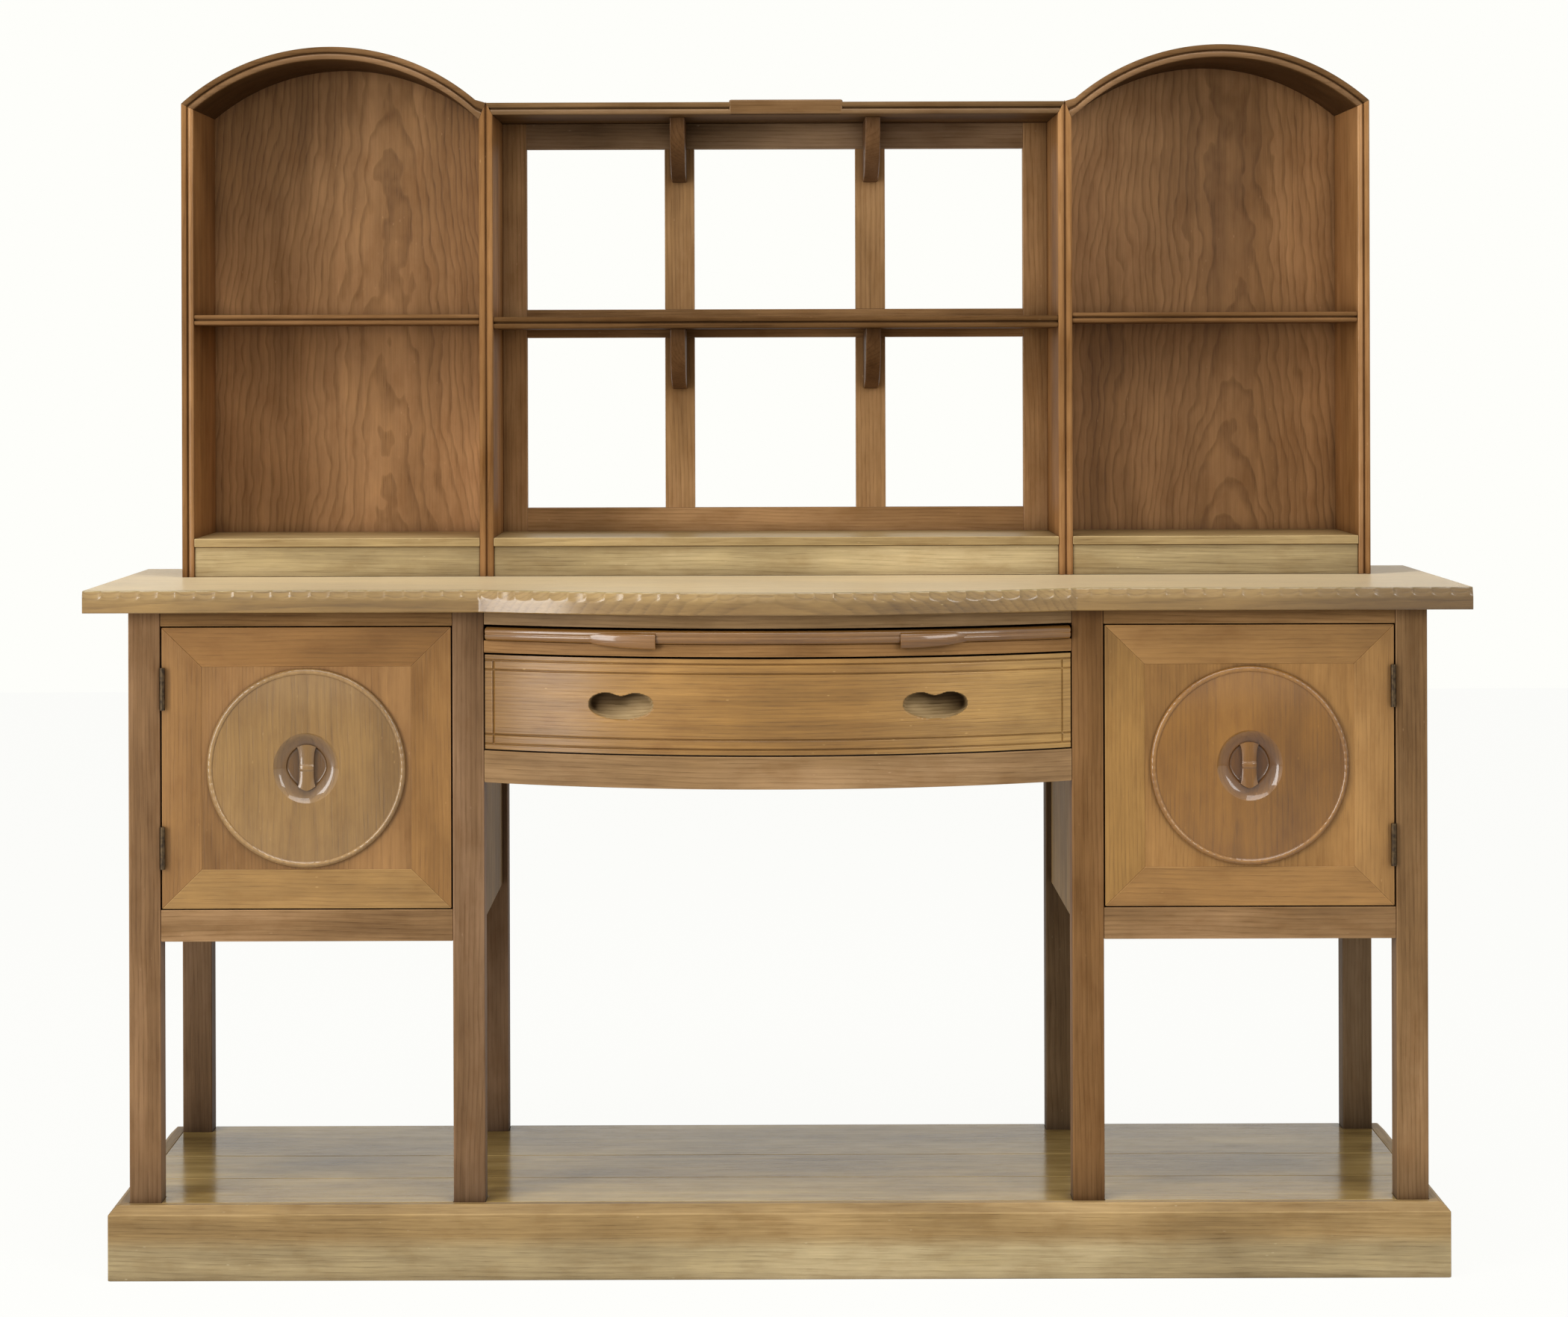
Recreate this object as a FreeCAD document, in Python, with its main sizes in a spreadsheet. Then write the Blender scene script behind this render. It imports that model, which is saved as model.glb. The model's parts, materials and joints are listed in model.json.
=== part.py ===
import FreeCAD, Part
import os
import re
import Sketcher

# A free-standing oak dresser: a pot board on a plinth, two cupboards with carved
# roundels on eight square legs, a bow-fronted drawer and slide between them, and a
# plate rack with two arched bays above. It stands on the floor, +Z is up, the front
# faces -Y and the origin is the middle of its footprint on the floor.

doc = FreeCAD.newDocument("Dresser")
sheet = doc.addObject("Spreadsheet::Sheet", "Sizes")

# Driving sizes in millimetres, by the piece that they belong to.
SIZES = [
    # Worktop
    ("worktop_length", 1829.0),
    ("worktop_height", 909.0),
    ("worktop_thick", 29.5),
    ("worktop_bow", 88.0),
    ("worktop_arris", 5.0),
    ("front_overhang", 30.0),
    ("back_overhang", 10.0),
    # Legs and carcass
    ("end_overhang", 55.5),
    ("carcass_depth", 515.0),
    ("leg_size", 42.0),
    ("cupboard_opening", 386.5),
    ("door_opening", 375.0),
    ("face_setback", 1.5),
    ("rail_thick", 24.0),
    ("low_rail_height", 42.0),
    ("top_rail_height", 19.5),
    ("panel_thick", 18.0),
    ("panel_setback", 8.0),
    ("panel_rise", 12.0),
    ("floor_thick", 18.0),
    ("back_thick", 10.0),
    # Plinth and pot board
    ("plinth_thick", 25.0),
    ("plinth_arris", 11.0),
    ("pot_height", 98.0),
    ("pot_thick", 20.0),
    ("plank_seam", 0.8),
    ("bearer_thick", 28.0),
    ("bearer_height", 55.0),
    # Bowed centre
    ("rail_bow", 100.0),
    ("frieze_height", 18.0),
    ("slide_space", 20.5),
    ("divider_thick", 16.5),
    ("drawer_space", 129.0),
    ("apron_height", 42.5),
    ("apron_thick", 24.0),
    ("runner_reach", 28.0),
    ("runner_thick", 20.0),
    ("guide_height", 40.0),
    ("rear_space", 59.0),
    # Slide
    ("slide_thick", 17.5),
    ("slide_gap", 1.5),
    ("slide_proud", 8.0),
    ("slide_nose", 6.0),
    ("grip_length", 92.0),
    ("grip_proud", 6.0),
    ("grip_drop", 7.0),
    # Drawer
    ("drawer_gap", 1.5),
    ("drawer_rise", 2.0),
    ("drawer_height", 124.5),
    ("drawer_front_thick", 25.0),
    ("drawer_side_thick", 12.0),
    ("drawer_side_drop", 12.0),
    ("drawer_floor_thick", 8.0),
    ("drawer_floor_rise", 10.0),
    ("drawer_groove", 5.0),
    ("pull_place_share", 0.5277),
    ("pull_width", 84.0),
    ("pull_height", 37.0),
    ("pull_dip", 6.0),
    ("pull_depth", 15.0),
    ("line_width", 2.0),
    ("line_depth", 1.5),
    ("line_inset", 7.0),
    ("line_pitch", 12.5),
    # Doors
    ("door_gap", 2.4),
    ("door_side_gap", 3.7),
    ("door_thick", 22.0),
    ("frame_width", 51.0),
    ("door_panel_thick", 14.0),
    ("door_panel_setback", 0.5),
    ("roundel_radius", 131.5),
    ("roundel_thick", 14.0),
    ("roundel_proud", 6.0),
    ("roundel_bead", 9.0),
    ("roundel_sink", 2.0),
    ("hollow_radius", 43.0),
    ("hollow_depth", 10.5),
    ("door_grip_width", 20.0),
    ("door_grip_height", 60.0),
    ("stop_length", 40.0),
    ("stop_height", 12.0),
    ("stop_inset", 30.0),
    # Hinges
    ("hinge_height", 56.0),
    ("hinge_inset", 80.0),
    ("leaf_thick", 1.0),
    ("leaf_width", 18.0),
    ("barrel_radius", 3.5),
    ("barrel_ahead", 3.8),
    ("hinge_pin_radius", 1.3),
    ("pin_clearance", 0.08),
    ("running_gap", 0.3),
    # Plate rack
    ("overall_height", 1651.0),
    ("arch_rise", 79.0),
    ("arch_thick", 17.5),
    ("rack_inset", 83.0),
    ("rack_depth", 229.0),
    ("rack_side_thick", 17.0),
    ("rack_divider_thick", 19.5),
    ("rack_divider_inset", 7.0),
    ("top_board_thick", 17.0),
    ("tablet_length", 159.0),
    ("tablet_offset", 15.0),
    ("tablet_depth", 15.0),
    ("tablet_rise", 3.3),
    ("centre_shelf_share", 0.522),
    ("centre_shelf_thick", 16.5),
    ("side_shelf_lift", 4.0),
    ("side_shelf_thick", 14.0),
    ("shelf_setback", 3.0),
    ("ledge_height", 54.0),
    ("ledge_thick", 12.0),
    ("fascia_thick", 14.0),
    ("fascia_setback", 4.0),
    ("reed_rise", 2.2),
    ("reed_groove", 3.5),
    ("rack_panel_thick", 10.0),
    # Back frame of the rack
    ("frame_thick", 20.0),
    ("stile_width", 35.0),
    ("muntin_width", 43.0),
    ("muntin_place_share", 0.35),
    ("frame_low_rail", 88.0),
    ("frame_middle_rail", 41.0),
    ("frame_middle_drop", 7.5),
    ("frame_top_rail", 37.0),
    ("bracket_thick", 21.0),
    ("bracket_height", 86.0),
    ("bracket_reach", 150.0),
    ("bracket_lip", 12.0),
    # How far a cutting tool runs past the faces that it cuts
    ("cut_overrun", 5.0),
]

# Places and sizes that follow from the driving ones.
DERIVED = [
    ("overall_depth", "worktop_bow + front_overhang + carcass_depth + back_overhang"),
    ("carcass_front", "worktop_bow + front_overhang - overall_depth / 2"),
    ("carcass_back", "carcass_front + carcass_depth"),
    ("worktop_front", "carcass_front - front_overhang"),
    ("worktop_back", "carcass_back + back_overhang"),
    ("worktop_under", "worktop_height - worktop_thick"),
    ("carcass_half", "worktop_length / 2 - end_overhang"),
    ("jamb_outer", "carcass_half - leg_size"),
    ("jamb_inner", "jamb_outer - cupboard_opening"),
    ("knee_half", "jamb_inner - leg_size"),
    ("leg_front_rear", "carcass_front + leg_size"),
    ("leg_back_face", "carcass_back - leg_size"),
    ("rail_face", "carcass_front + face_setback"),
    ("top_rail_bottom", "worktop_under - top_rail_height"),
    ("low_rail_top", "top_rail_bottom - door_opening"),
    ("low_rail_bottom", "low_rail_top - low_rail_height"),
    ("panel_bottom", "low_rail_bottom + panel_rise"),
    ("frieze_bottom", "worktop_under - frieze_height"),
    ("divider_top", "frieze_bottom - slide_space"),
    ("divider_bottom", "divider_top - divider_thick"),
    ("apron_top", "divider_bottom - drawer_space"),
    ("apron_bottom", "apron_top - apron_height"),
    ("bow_front", "carcass_front - rail_bow"),
    ("bow_radius", "(knee_half ^ 2 + rail_bow ^ 2) / (2 * rail_bow)"),
    ("bow_centre", "bow_front + bow_radius"),
    ("drawer_low", "apron_top + drawer_rise"),
    ("drawer_half", "knee_half - drawer_gap"),
    ("drawer_inner_half", "drawer_half - drawer_side_thick"),
    ("drawer_seat", "carcass_front + drawer_front_thick"),
    ("centre_back_face", "carcass_back - panel_setback - panel_thick"),
    ("drawer_rear", "centre_back_face - rear_space"),
    ("slide_rear", "centre_back_face - rear_space"),
    ("drawer_floor_low", "drawer_low + drawer_floor_rise"),
    ("pull_offset", "knee_half * pull_place_share"),
    ("slide_low", "divider_top + running_gap"),
    ("slide_half", "knee_half - slide_gap"),
    ("slide_radius", "bow_radius + slide_proud"),
    ("grip_inner", "pull_offset - grip_length / 2"),
    ("grip_outer", "pull_offset + grip_length / 2"),
    ("door_half", "cupboard_opening / 2 - door_side_gap"),
    ("door_centre", "(jamb_outer + jamb_inner) / 2"),
    ("door_low", "low_rail_top + door_gap"),
    ("door_high", "top_rail_bottom - door_gap"),
    ("door_middle", "(door_low + door_high) / 2"),
    ("door_rear", "rail_face + door_thick"),
    ("roundel_rear", "rail_face + roundel_thick - roundel_proud"),
    ("roundel_face", "roundel_thick - roundel_sink"),
    ("pin_line", "carcass_front - barrel_ahead"),
    ("pin_side", "jamb_outer - door_side_gap"),
    ("rack_half", "worktop_length / 2 - rack_inset"),
    ("rack_side_inner", "rack_half - rack_side_thick"),
    ("rack_centre_half", "knee_half + rack_divider_inset"),
    ("divider_face", "rack_centre_half + rack_divider_thick"),
    ("rack_front", "worktop_back - rack_depth"),
    ("rack_top", "overall_height - arch_rise"),
    ("rack_top_low", "rack_top - top_board_thick"),
    ("bay_centre", "(rack_half + divider_face) / 2"),
    ("arch_half", "(rack_half - divider_face) / 2"),
    ("arch_radius", "(arch_half ^ 2 + arch_rise ^ 2) / (2 * arch_rise)"),
    ("arch_inner", "arch_radius - arch_thick"),
    ("arch_centre", "overall_height - arch_radius"),
    ("arch_side_spring", "arch_centre + sqrt(arch_inner ^ 2 - (arch_half - rack_side_thick) ^ 2)"),
    ("arch_divider_spring", "arch_centre + sqrt(arch_inner ^ 2 - arch_half ^ 2)"),
    ("ledge_top", "worktop_height + ledge_height"),
    ("centre_shelf_top", "ledge_top + (rack_top_low - ledge_top) * centre_shelf_share"),
    ("centre_shelf_under", "centre_shelf_top - centre_shelf_thick"),
    ("side_shelf_top", "centre_shelf_top + side_shelf_lift"),
    ("panel_face", "worktop_back - rack_panel_thick"),
    ("frame_face", "worktop_back - frame_thick"),
    ("frame_low_top", "worktop_height + frame_low_rail"),
    ("frame_middle", "centre_shelf_top - frame_middle_drop"),
    ("frame_top_low", "rack_top_low - frame_top_rail"),
    ("muntin_offset", "rack_centre_half * muntin_place_share"),
]

LEFT = -1
RIGHT = 1
SIDES = ((LEFT, "left"), (RIGHT, "right"))

# Where the planks of the pot board begin and end, as shares of its depth from the front.
PLANK_SHARES = (0, 0.295, 0.585, 1)

# The drawer's finger recess: shares of its width across and of its height up, from
# its middle, for one lobe and for one side of its rounded foot.
LOBE_TOP_SHARES = (0.27, 0.5)
LOBE_SIDE_SHARES = (0.5, 0.08)
FOOT_BEND_SHARES = (0.31, -0.36)

# The slide's grip: where its lower edge bends, as shares of its length and drop.
GRIP_BEND_SHARES = (0.5, 0.75)

# The bracket's bend, as shares of its reach from the front and of its height.
BRACKET_BEND_SHARES = (0.3, 0.34)

# The roundel's dish: where its side bends, as shares of its radius and its depth.
DISH_BEND_SHARES = (0.6, 0.25)

# How much of a reed's width its flat crown takes.
CROWN_SHARE = 0.45

FULL_TURN = 360
QUARTER_TURN = 90

nodes = []


def fill_sheet():
    """Write every size into the sheet, with its name beside it as its alias."""
    rows = [(name, str(size)) for name, size in SIZES]
    rows += [(name, "=" + formula) for name, formula in DERIVED]
    for row, (name, text) in enumerate(rows, start=1):
        sheet.set(f"A{row}", name)
        sheet.set(f"B{row}", text)
        sheet.setAlias(f"B{row}", name)
    doc.recompute()


def bound(formula):
    """The formula with each name of the sheet written as the document finds it."""
    return re.sub(r"\b([a-z]+(?:_[a-z]+)+)\b", r"Sizes.\1", formula)


def value(formula):
    """What the formula comes to now."""
    return float(sheet.evalExpression(bound(formula)))


def on_side(side, formula):
    """The formula for the left or the right of the middle."""
    return f"{side} * ({formula})"


def across(side, inner, outer):
    """The lower and the higher X of a span on the left or the right."""
    if side == LEFT:
        return on_side(side, outer), on_side(side, inner)
    return inner, outer


def bow_at(radius, along):
    """The Y of an arc about the bow's centre, at a distance from the middle."""
    return f"bow_centre - sqrt(({radius}) ^ 2 - ({along}) ^ 2)"


def node(thing, label):
    """Name a finished sub-part, which is written to a file of that name."""
    thing.Label = label
    nodes.append(thing)
    return thing


def box(xs, ys, zs, name="Board"):
    """A square-edged board between three pairs of formulas."""
    board = doc.addObject("Part::Box", name)
    for side, (low, high) in (("Length", xs), ("Width", ys), ("Height", zs)):
        board.setExpression(side, bound(f"({high}) - ({low})"))
    for letter, (low, high) in (("x", xs), ("y", ys), ("z", zs)):
        board.setExpression(f"Placement.Base.{letter}", bound(low))
    return board


def group(label, members):
    """Like pieces that share one node and stay separate solids."""
    together = doc.addObject("Part::Compound", "Group")
    together.Links = members
    return node(together, label)


def cut(base, tool, name="Cut"):
    """The base less the tool."""
    result = doc.addObject("Part::Cut", name)
    result.Base = base
    result.Tool = tool
    return result


def common(first, second, name="Common"):
    """What two solids share."""
    result = doc.addObject("Part::Common", name)
    result.Base = first
    result.Tool = second
    return result


def upright_cylinder(radius, height, place):
    """A cylinder along Z whose foot stands at three formulas."""
    cylinder = doc.addObject("Part::Cylinder", "Cylinder")
    cylinder.setExpression("Radius", bound(radius))
    cylinder.setExpression("Height", bound(height))
    for letter, formula in zip("xyz", place):
        cylinder.setExpression(f"Placement.Base.{letter}", bound(formula))
    return cylinder


def new_body(place=("0", "0", "0"), name="Body"):
    """An empty body at three formulas."""
    body = doc.addObject("PartDesign::Body", name)
    for letter, formula in zip("xyz", place):
        body.setExpression(f"Placement.Base.{letter}", bound(formula))
    return body


def origin_plane(body, role):
    """One of the body's own origin planes."""
    return [plane for plane in body.Origin.OriginFeatures if plane.Role == role][0]


def fix_point(sketch, edge, end, place):
    """Hold a point of the sketch at two formulas from the sketch's origin."""
    for kind, formula in zip(("DistanceX", "DistanceY"), place):
        rule = Sketcher.Constraint(kind, -1, 1, edge, end, value(formula))
        index = sketch.addConstraint(rule)
        sketch.setExpression(f"Constraints[{index}]", bound(formula))


def sketch_on(body, role, offset="0"):
    """An empty sketch on an origin plane of the body, moved along its normal."""
    sketch = body.newObject("Sketcher::SketchObject", "Sketch")
    sketch.AttachmentSupport = (origin_plane(body, role), [""])
    sketch.MapMode = "FlatFace"
    sketch.setExpression("AttachmentOffset.Base.z", bound(offset))
    return sketch


def outline(body, role, corners, offset="0"):
    """A closed sketch. A corner is two formulas, and one that an arc leads to has two
    more, for a point that the arc passes through."""
    sketch = sketch_on(body, role, offset)
    add_loop(sketch, corners)
    return sketch


def add_loop(sketch, corners):
    """Draw one closed loop of lines and arcs in the sketch and hold every corner."""
    places = [FreeCAD.Vector(value(corner[0]), value(corner[1]), 0) for corner in corners]
    edges = []
    for index, corner in enumerate(corners):
        start = places[index - 1]
        finish = places[index]
        if len(corner) == 4:
            middle = FreeCAD.Vector(value(corner[2]), value(corner[3]), 0)
            edge = sketch.addGeometry(Part.Arc(start, middle, finish), False)
            spot = sketch.addGeometry(Part.Point(middle), True)
            fix_point(sketch, spot, 1, corner[2:])
            sketch.addConstraint(Sketcher.Constraint("PointOnObject", spot, 1, edge))
        else:
            edge = sketch.addGeometry(Part.LineSegment(start, finish), False)
        forward = sketch.getPoint(edge, 2).distanceToPoint(finish)
        backward = sketch.getPoint(edge, 1).distanceToPoint(finish)
        edges.append((edge, 2 if forward < backward else 1))
    for index, corner in enumerate(corners):
        edge, end = edges[index]
        following, following_end = edges[(index + 1) % len(edges)]
        rule = Sketcher.Constraint("Coincident", edge, end, following, 3 - following_end)
        sketch.addConstraint(rule)
        fix_point(sketch, edge, end, corner[:2])


def pad(body, sketch, length):
    """Raise the sketch along its plane's normal."""
    feature = body.newObject("PartDesign::Pad", "Pad")
    feature.Profile = sketch
    feature.setExpression("Length", bound(length))
    return feature


def pocket(body, sketch, length):
    """Cut the sketch against its plane's normal."""
    before = body.Shape.Volume
    feature = body.newObject("PartDesign::Pocket", "Pocket")
    feature.Profile = sketch
    feature.setExpression("Length", bound(length))
    doc.recompute()
    if body.Shape.Volume >= before:
        raise ValueError("a pocket cuts nothing in " + body.Name)
    return feature


def chamfer(body, size, chosen):
    """Chamfer the edges of the body whose middle the test accepts."""
    doc.recompute()
    base = body.Tip
    names = []
    for number, edge in enumerate(base.Shape.Edges, start=1):
        middle = edge.valueAt((edge.FirstParameter + edge.LastParameter) / 2)
        if chosen(edge, middle):
            names.append(f"Edge{number}")
    feature = body.newObject("PartDesign::Chamfer", "Chamfer")
    feature.Base = (base, names)
    feature.setExpression("Size", bound(size))
    return feature


def plan_body(corners, bottom, height):
    """A piece drawn in plan and raised to its height."""
    body = new_body(("0", "0", bottom))
    pad(body, outline(body, "XY_Plane", corners), height)
    return body


def front_body(corners, rear, depth):
    """A piece drawn from the front and taken forward from its rear face."""
    body = new_body(("0", rear, "0"))
    pad(body, outline(body, "XZ_Plane", corners), depth)
    return body


def side_body(corners, left, width):
    """A piece drawn from the side and taken to the right from its left face."""
    body = new_body((left, "0", "0"))
    pad(body, outline(body, "YZ_Plane", corners), width)
    return body


def crowned(low, high, foot, crown):
    """The four corners of a bead with canted sides and a flat crown."""
    middle = f"(({low}) + ({high})) / 2"
    reach = f"(({high}) - ({low})) / 2 * {CROWN_SHARE}"
    return [
        (low, foot),
        (f"{middle} - {reach}", crown),
        (f"{middle} + {reach}", crown),
        (high, foot),
    ]


def reeded(low, high, front, rear):
    """The section of a board whose front edge has two reeds with a groove between:
    corners as (across, back) formulas."""
    middle = f"(({low}) + ({high})) / 2"
    dip = f"({front}) + reed_rise"
    first = crowned(low, f"{middle} - reed_groove / 2", dip, front)
    second = crowned(f"{middle} + reed_groove / 2", high, dip, front)
    return [(high, rear), (low, rear)] + first + second


def swapped(corners):
    """The same corners with their two directions exchanged."""
    return [(second, first) for first, second in corners]


def placed_on(side, corners):
    """The same corners on the left or the right of the middle."""
    return [(on_side(side, first), second) for first, second in corners]


def worktop():
    half = "worktop_length / 2"
    corners = [
        (f"-{half}", "worktop_back"),
        (f"-{half}", "worktop_front"),
        ("-knee_half", "worktop_front"),
        ("knee_half", "worktop_front", "0", "worktop_front - worktop_bow"),
        (half, "worktop_front"),
        (half, "worktop_back"),
    ]
    body = plan_body(corners, "worktop_under", "worktop_thick")
    rear = value("worktop_back")
    top = value("worktop_thick")

    def shown_arris(edge, middle):
        return abs(middle.z - top) < tolerance and middle.y < rear - tolerance

    chamfer(body, "worktop_arris", shown_arris)
    node(body, "worktop")


def legs():
    """Eight square legs from the floor to the worktop, by row and place."""
    made = {}
    rows = (
        ("front", ("carcass_front", "leg_front_rear")),
        ("back", ("leg_back_face", "carcass_back")),
    )
    places = (("outer", "jamb_outer", "carcass_half"), ("inner", "knee_half", "jamb_inner"))
    for row, depths in rows:
        for place, inner, outer in places:
            for side, word in SIDES:
                leg = box(across(side, inner, outer), depths, ("0", "worktop_under"), "Leg")
                made[row, place, side] = node(leg, f"leg_{row}_{place}_{word}")
    return made


def plinth():
    """Three mitred boards round the feet, with a chamfered top edge."""
    outer = "carcass_half + plinth_thick"
    front = "carcass_front - plinth_thick"
    face = value(front)
    top = value("pot_height")
    corners = [
        (f"-({outer})", front),
        (outer, front),
        ("carcass_half", "carcass_front"),
        ("-carcass_half", "carcass_front"),
    ]
    body = plan_body(corners, "0", "pot_height")

    def front_arris(edge, middle):
        return abs(middle.z - top) < tolerance and abs(middle.y - face) < tolerance

    chamfer(body, "plinth_arris", front_arris)
    node(body, "plinth_front")
    for side, word in SIDES:
        corners = [
            (on_side(side, outer), front),
            (on_side(side, outer), "carcass_back"),
            (on_side(side, "carcass_half"), "carcass_back"),
            (on_side(side, "carcass_half"), "carcass_front"),
        ]
        body = plan_body(corners, "0", "pot_height")
        reach = side * value(outer)

        def side_arris(edge, middle):
            return abs(middle.z - top) < tolerance and abs(middle.x - reach) < tolerance

        chamfer(body, "plinth_arris", side_arris)
        node(body, f"plinth_{word}")


def pot_board(made_legs):
    """Planks notched round the legs, on bearers and rear rails between the legs."""
    tools = doc.addObject("Part::Compound", "LegTools")
    tools.Links = list(made_legs.values())
    planks = []
    for first_share, last_share in zip(PLANK_SHARES, PLANK_SHARES[1:]):
        low = f"carcass_front + carcass_depth * {first_share}"
        high = f"carcass_front + carcass_depth * {last_share}"
        if first_share > 0:
            low += " + plank_seam / 2"
        if last_share < 1:
            high += " - plank_seam / 2"
        levels = ("pot_height - pot_thick", "pot_height")
        plank = box(("-carcass_half", "carcass_half"), (low, high), levels, "Plank")
        planks.append(cut(plank, tools, "NotchedPlank"))
    group("pot_board_planks", planks)
    levels = ("pot_height - pot_thick - bearer_height", "pot_height - pot_thick")
    bearers = []
    for side in (LEFT, RIGHT):
        for middle in ("(jamb_outer + carcass_half) / 2", "(knee_half + jamb_inner) / 2"):
            ends = across(side, f"{middle} - bearer_thick / 2", f"{middle} + bearer_thick / 2")
            bearers.append(box(ends, ("leg_front_rear", "leg_back_face"), levels, "Bearer"))
    group("pot_board_bearers", bearers)
    depths = ("carcass_back - rail_thick", "carcass_back")
    spans = [across(side, "jamb_inner", "jamb_outer") for side in (LEFT, RIGHT)]
    spans.append(("-knee_half", "knee_half"))
    group("pot_board_back_rails", [box(span, depths, levels, "Rail") for span in spans])


def cupboards(made_legs):
    """The two cupboards between the legs, without their doors."""
    tools = doc.addObject("Part::Compound", "CupboardLegs")
    tools.Links = list(made_legs.values())
    top_rails = []
    low_rails = []
    floors = []
    backs = []
    stops = []
    for side, word in SIDES:
        opening = across(side, "jamb_inner", "jamb_outer")
        between = ("leg_front_rear", "leg_back_face")
        levels = ("panel_bottom", "worktop_under")
        inner = "knee_half + panel_setback"
        outer = "carcass_half - panel_setback"
        span = across(side, f"{outer} - panel_thick", outer)
        node(box(span, between, levels, "Panel"), f"cupboard_outer_side_{word}")
        span = across(side, inner, f"{inner} + panel_thick")
        node(box(span, between, levels, "Panel"), f"cupboard_inner_side_{word}")
        depths = ("rail_face", "leg_front_rear")
        top_rails.append(box(opening, depths, ("top_rail_bottom", "worktop_under"), "Rail"))
        depths = ("rail_face", "rail_face + rail_thick")
        low_rails.append(box(opening, depths, ("low_rail_bottom", "low_rail_top"), "Rail"))
        inside = across(side, f"{inner} + panel_thick", f"{outer} - panel_thick")
        depths = ("rail_face + rail_thick", "carcass_back - panel_setback - back_thick")
        floor = box(inside, depths, ("low_rail_top - floor_thick", "low_rail_top"), "Floor")
        floors.append(cut(floor, tools, "NotchedFloor"))
        rear = ("carcass_back - panel_setback - back_thick", "carcass_back - panel_setback")
        backs.append(box(opening, rear, levels, "Back"))
        ends = across(side, "jamb_inner + stop_inset", "jamb_inner + stop_inset + stop_length")
        depths = ("door_rear + running_gap", "leg_front_rear")
        stops.append(box(ends, depths, ("top_rail_bottom - stop_height", "top_rail_bottom"), "Stop"))
    group("cupboard_top_rails", top_rails)
    group("cupboard_low_rails", low_rails)
    group("cupboard_floors", floors)
    group("cupboard_backs", backs)
    group("door_stops", stops)


def centre_rails():
    """The bow-fronted rails and apron between the inner legs, and the back."""
    flat_rail = [
        ("-knee_half", "leg_front_rear"),
        ("-knee_half", "carcass_front"),
        ("knee_half", "carcass_front", "0", "bow_front"),
        ("knee_half", "leg_front_rear"),
    ]
    node(plan_body(flat_rail, "frieze_bottom", "frieze_height"), "frieze_rail")
    node(plan_body(flat_rail, "divider_bottom", "divider_thick"), "divider_rail")
    inner = bow_at("bow_radius - apron_thick", "knee_half")
    bent_rail = [
        ("-knee_half", "carcass_front"),
        ("knee_half", "carcass_front", "0", "bow_front"),
        ("knee_half", inner),
        ("-knee_half", inner, "0", "bow_front + apron_thick"),
    ]
    node(plan_body(bent_rail, "apron_bottom", "apron_height"), "apron_rail")
    depths = ("centre_back_face", "carcass_back - panel_setback")
    node(box(("-knee_half", "knee_half"), depths, ("apron_top", "worktop_under")), "centre_back")


def runners():
    """What the drawer and the slide run on, fixed to the cupboards' inner sides."""
    root = "knee_half + panel_setback"
    tip = "knee_half + panel_setback - runner_reach"
    top = "drawer_low - running_gap"
    drawer_runners = []
    slide_runners = []
    for side in (LEFT, RIGHT):
        angle = [
            (on_side(side, root), f"{top} - runner_thick"),
            (on_side(side, tip), f"{top} - runner_thick"),
            (on_side(side, tip), top),
            (on_side(side, "knee_half"), top),
            (on_side(side, "knee_half"), f"{top} + guide_height"),
            (on_side(side, root), f"{top} + guide_height"),
        ]
        drawer_runners.append(front_body(angle, "leg_back_face", "leg_back_face - leg_front_rear"))
        channel = [
            (on_side(side, root), "divider_bottom"),
            (on_side(side, tip), "divider_bottom"),
            (on_side(side, tip), "divider_top"),
            (on_side(side, "knee_half"), "divider_top"),
            (on_side(side, "knee_half"), "frieze_bottom"),
            (on_side(side, tip), "frieze_bottom"),
            (on_side(side, tip), "worktop_under"),
            (on_side(side, root), "worktop_under"),
        ]
        slide_runners.append(front_body(channel, "leg_back_face", "leg_back_face - leg_front_rear"))
    group("drawer_runners", drawer_runners)
    group("slide_runners", slide_runners)


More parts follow.
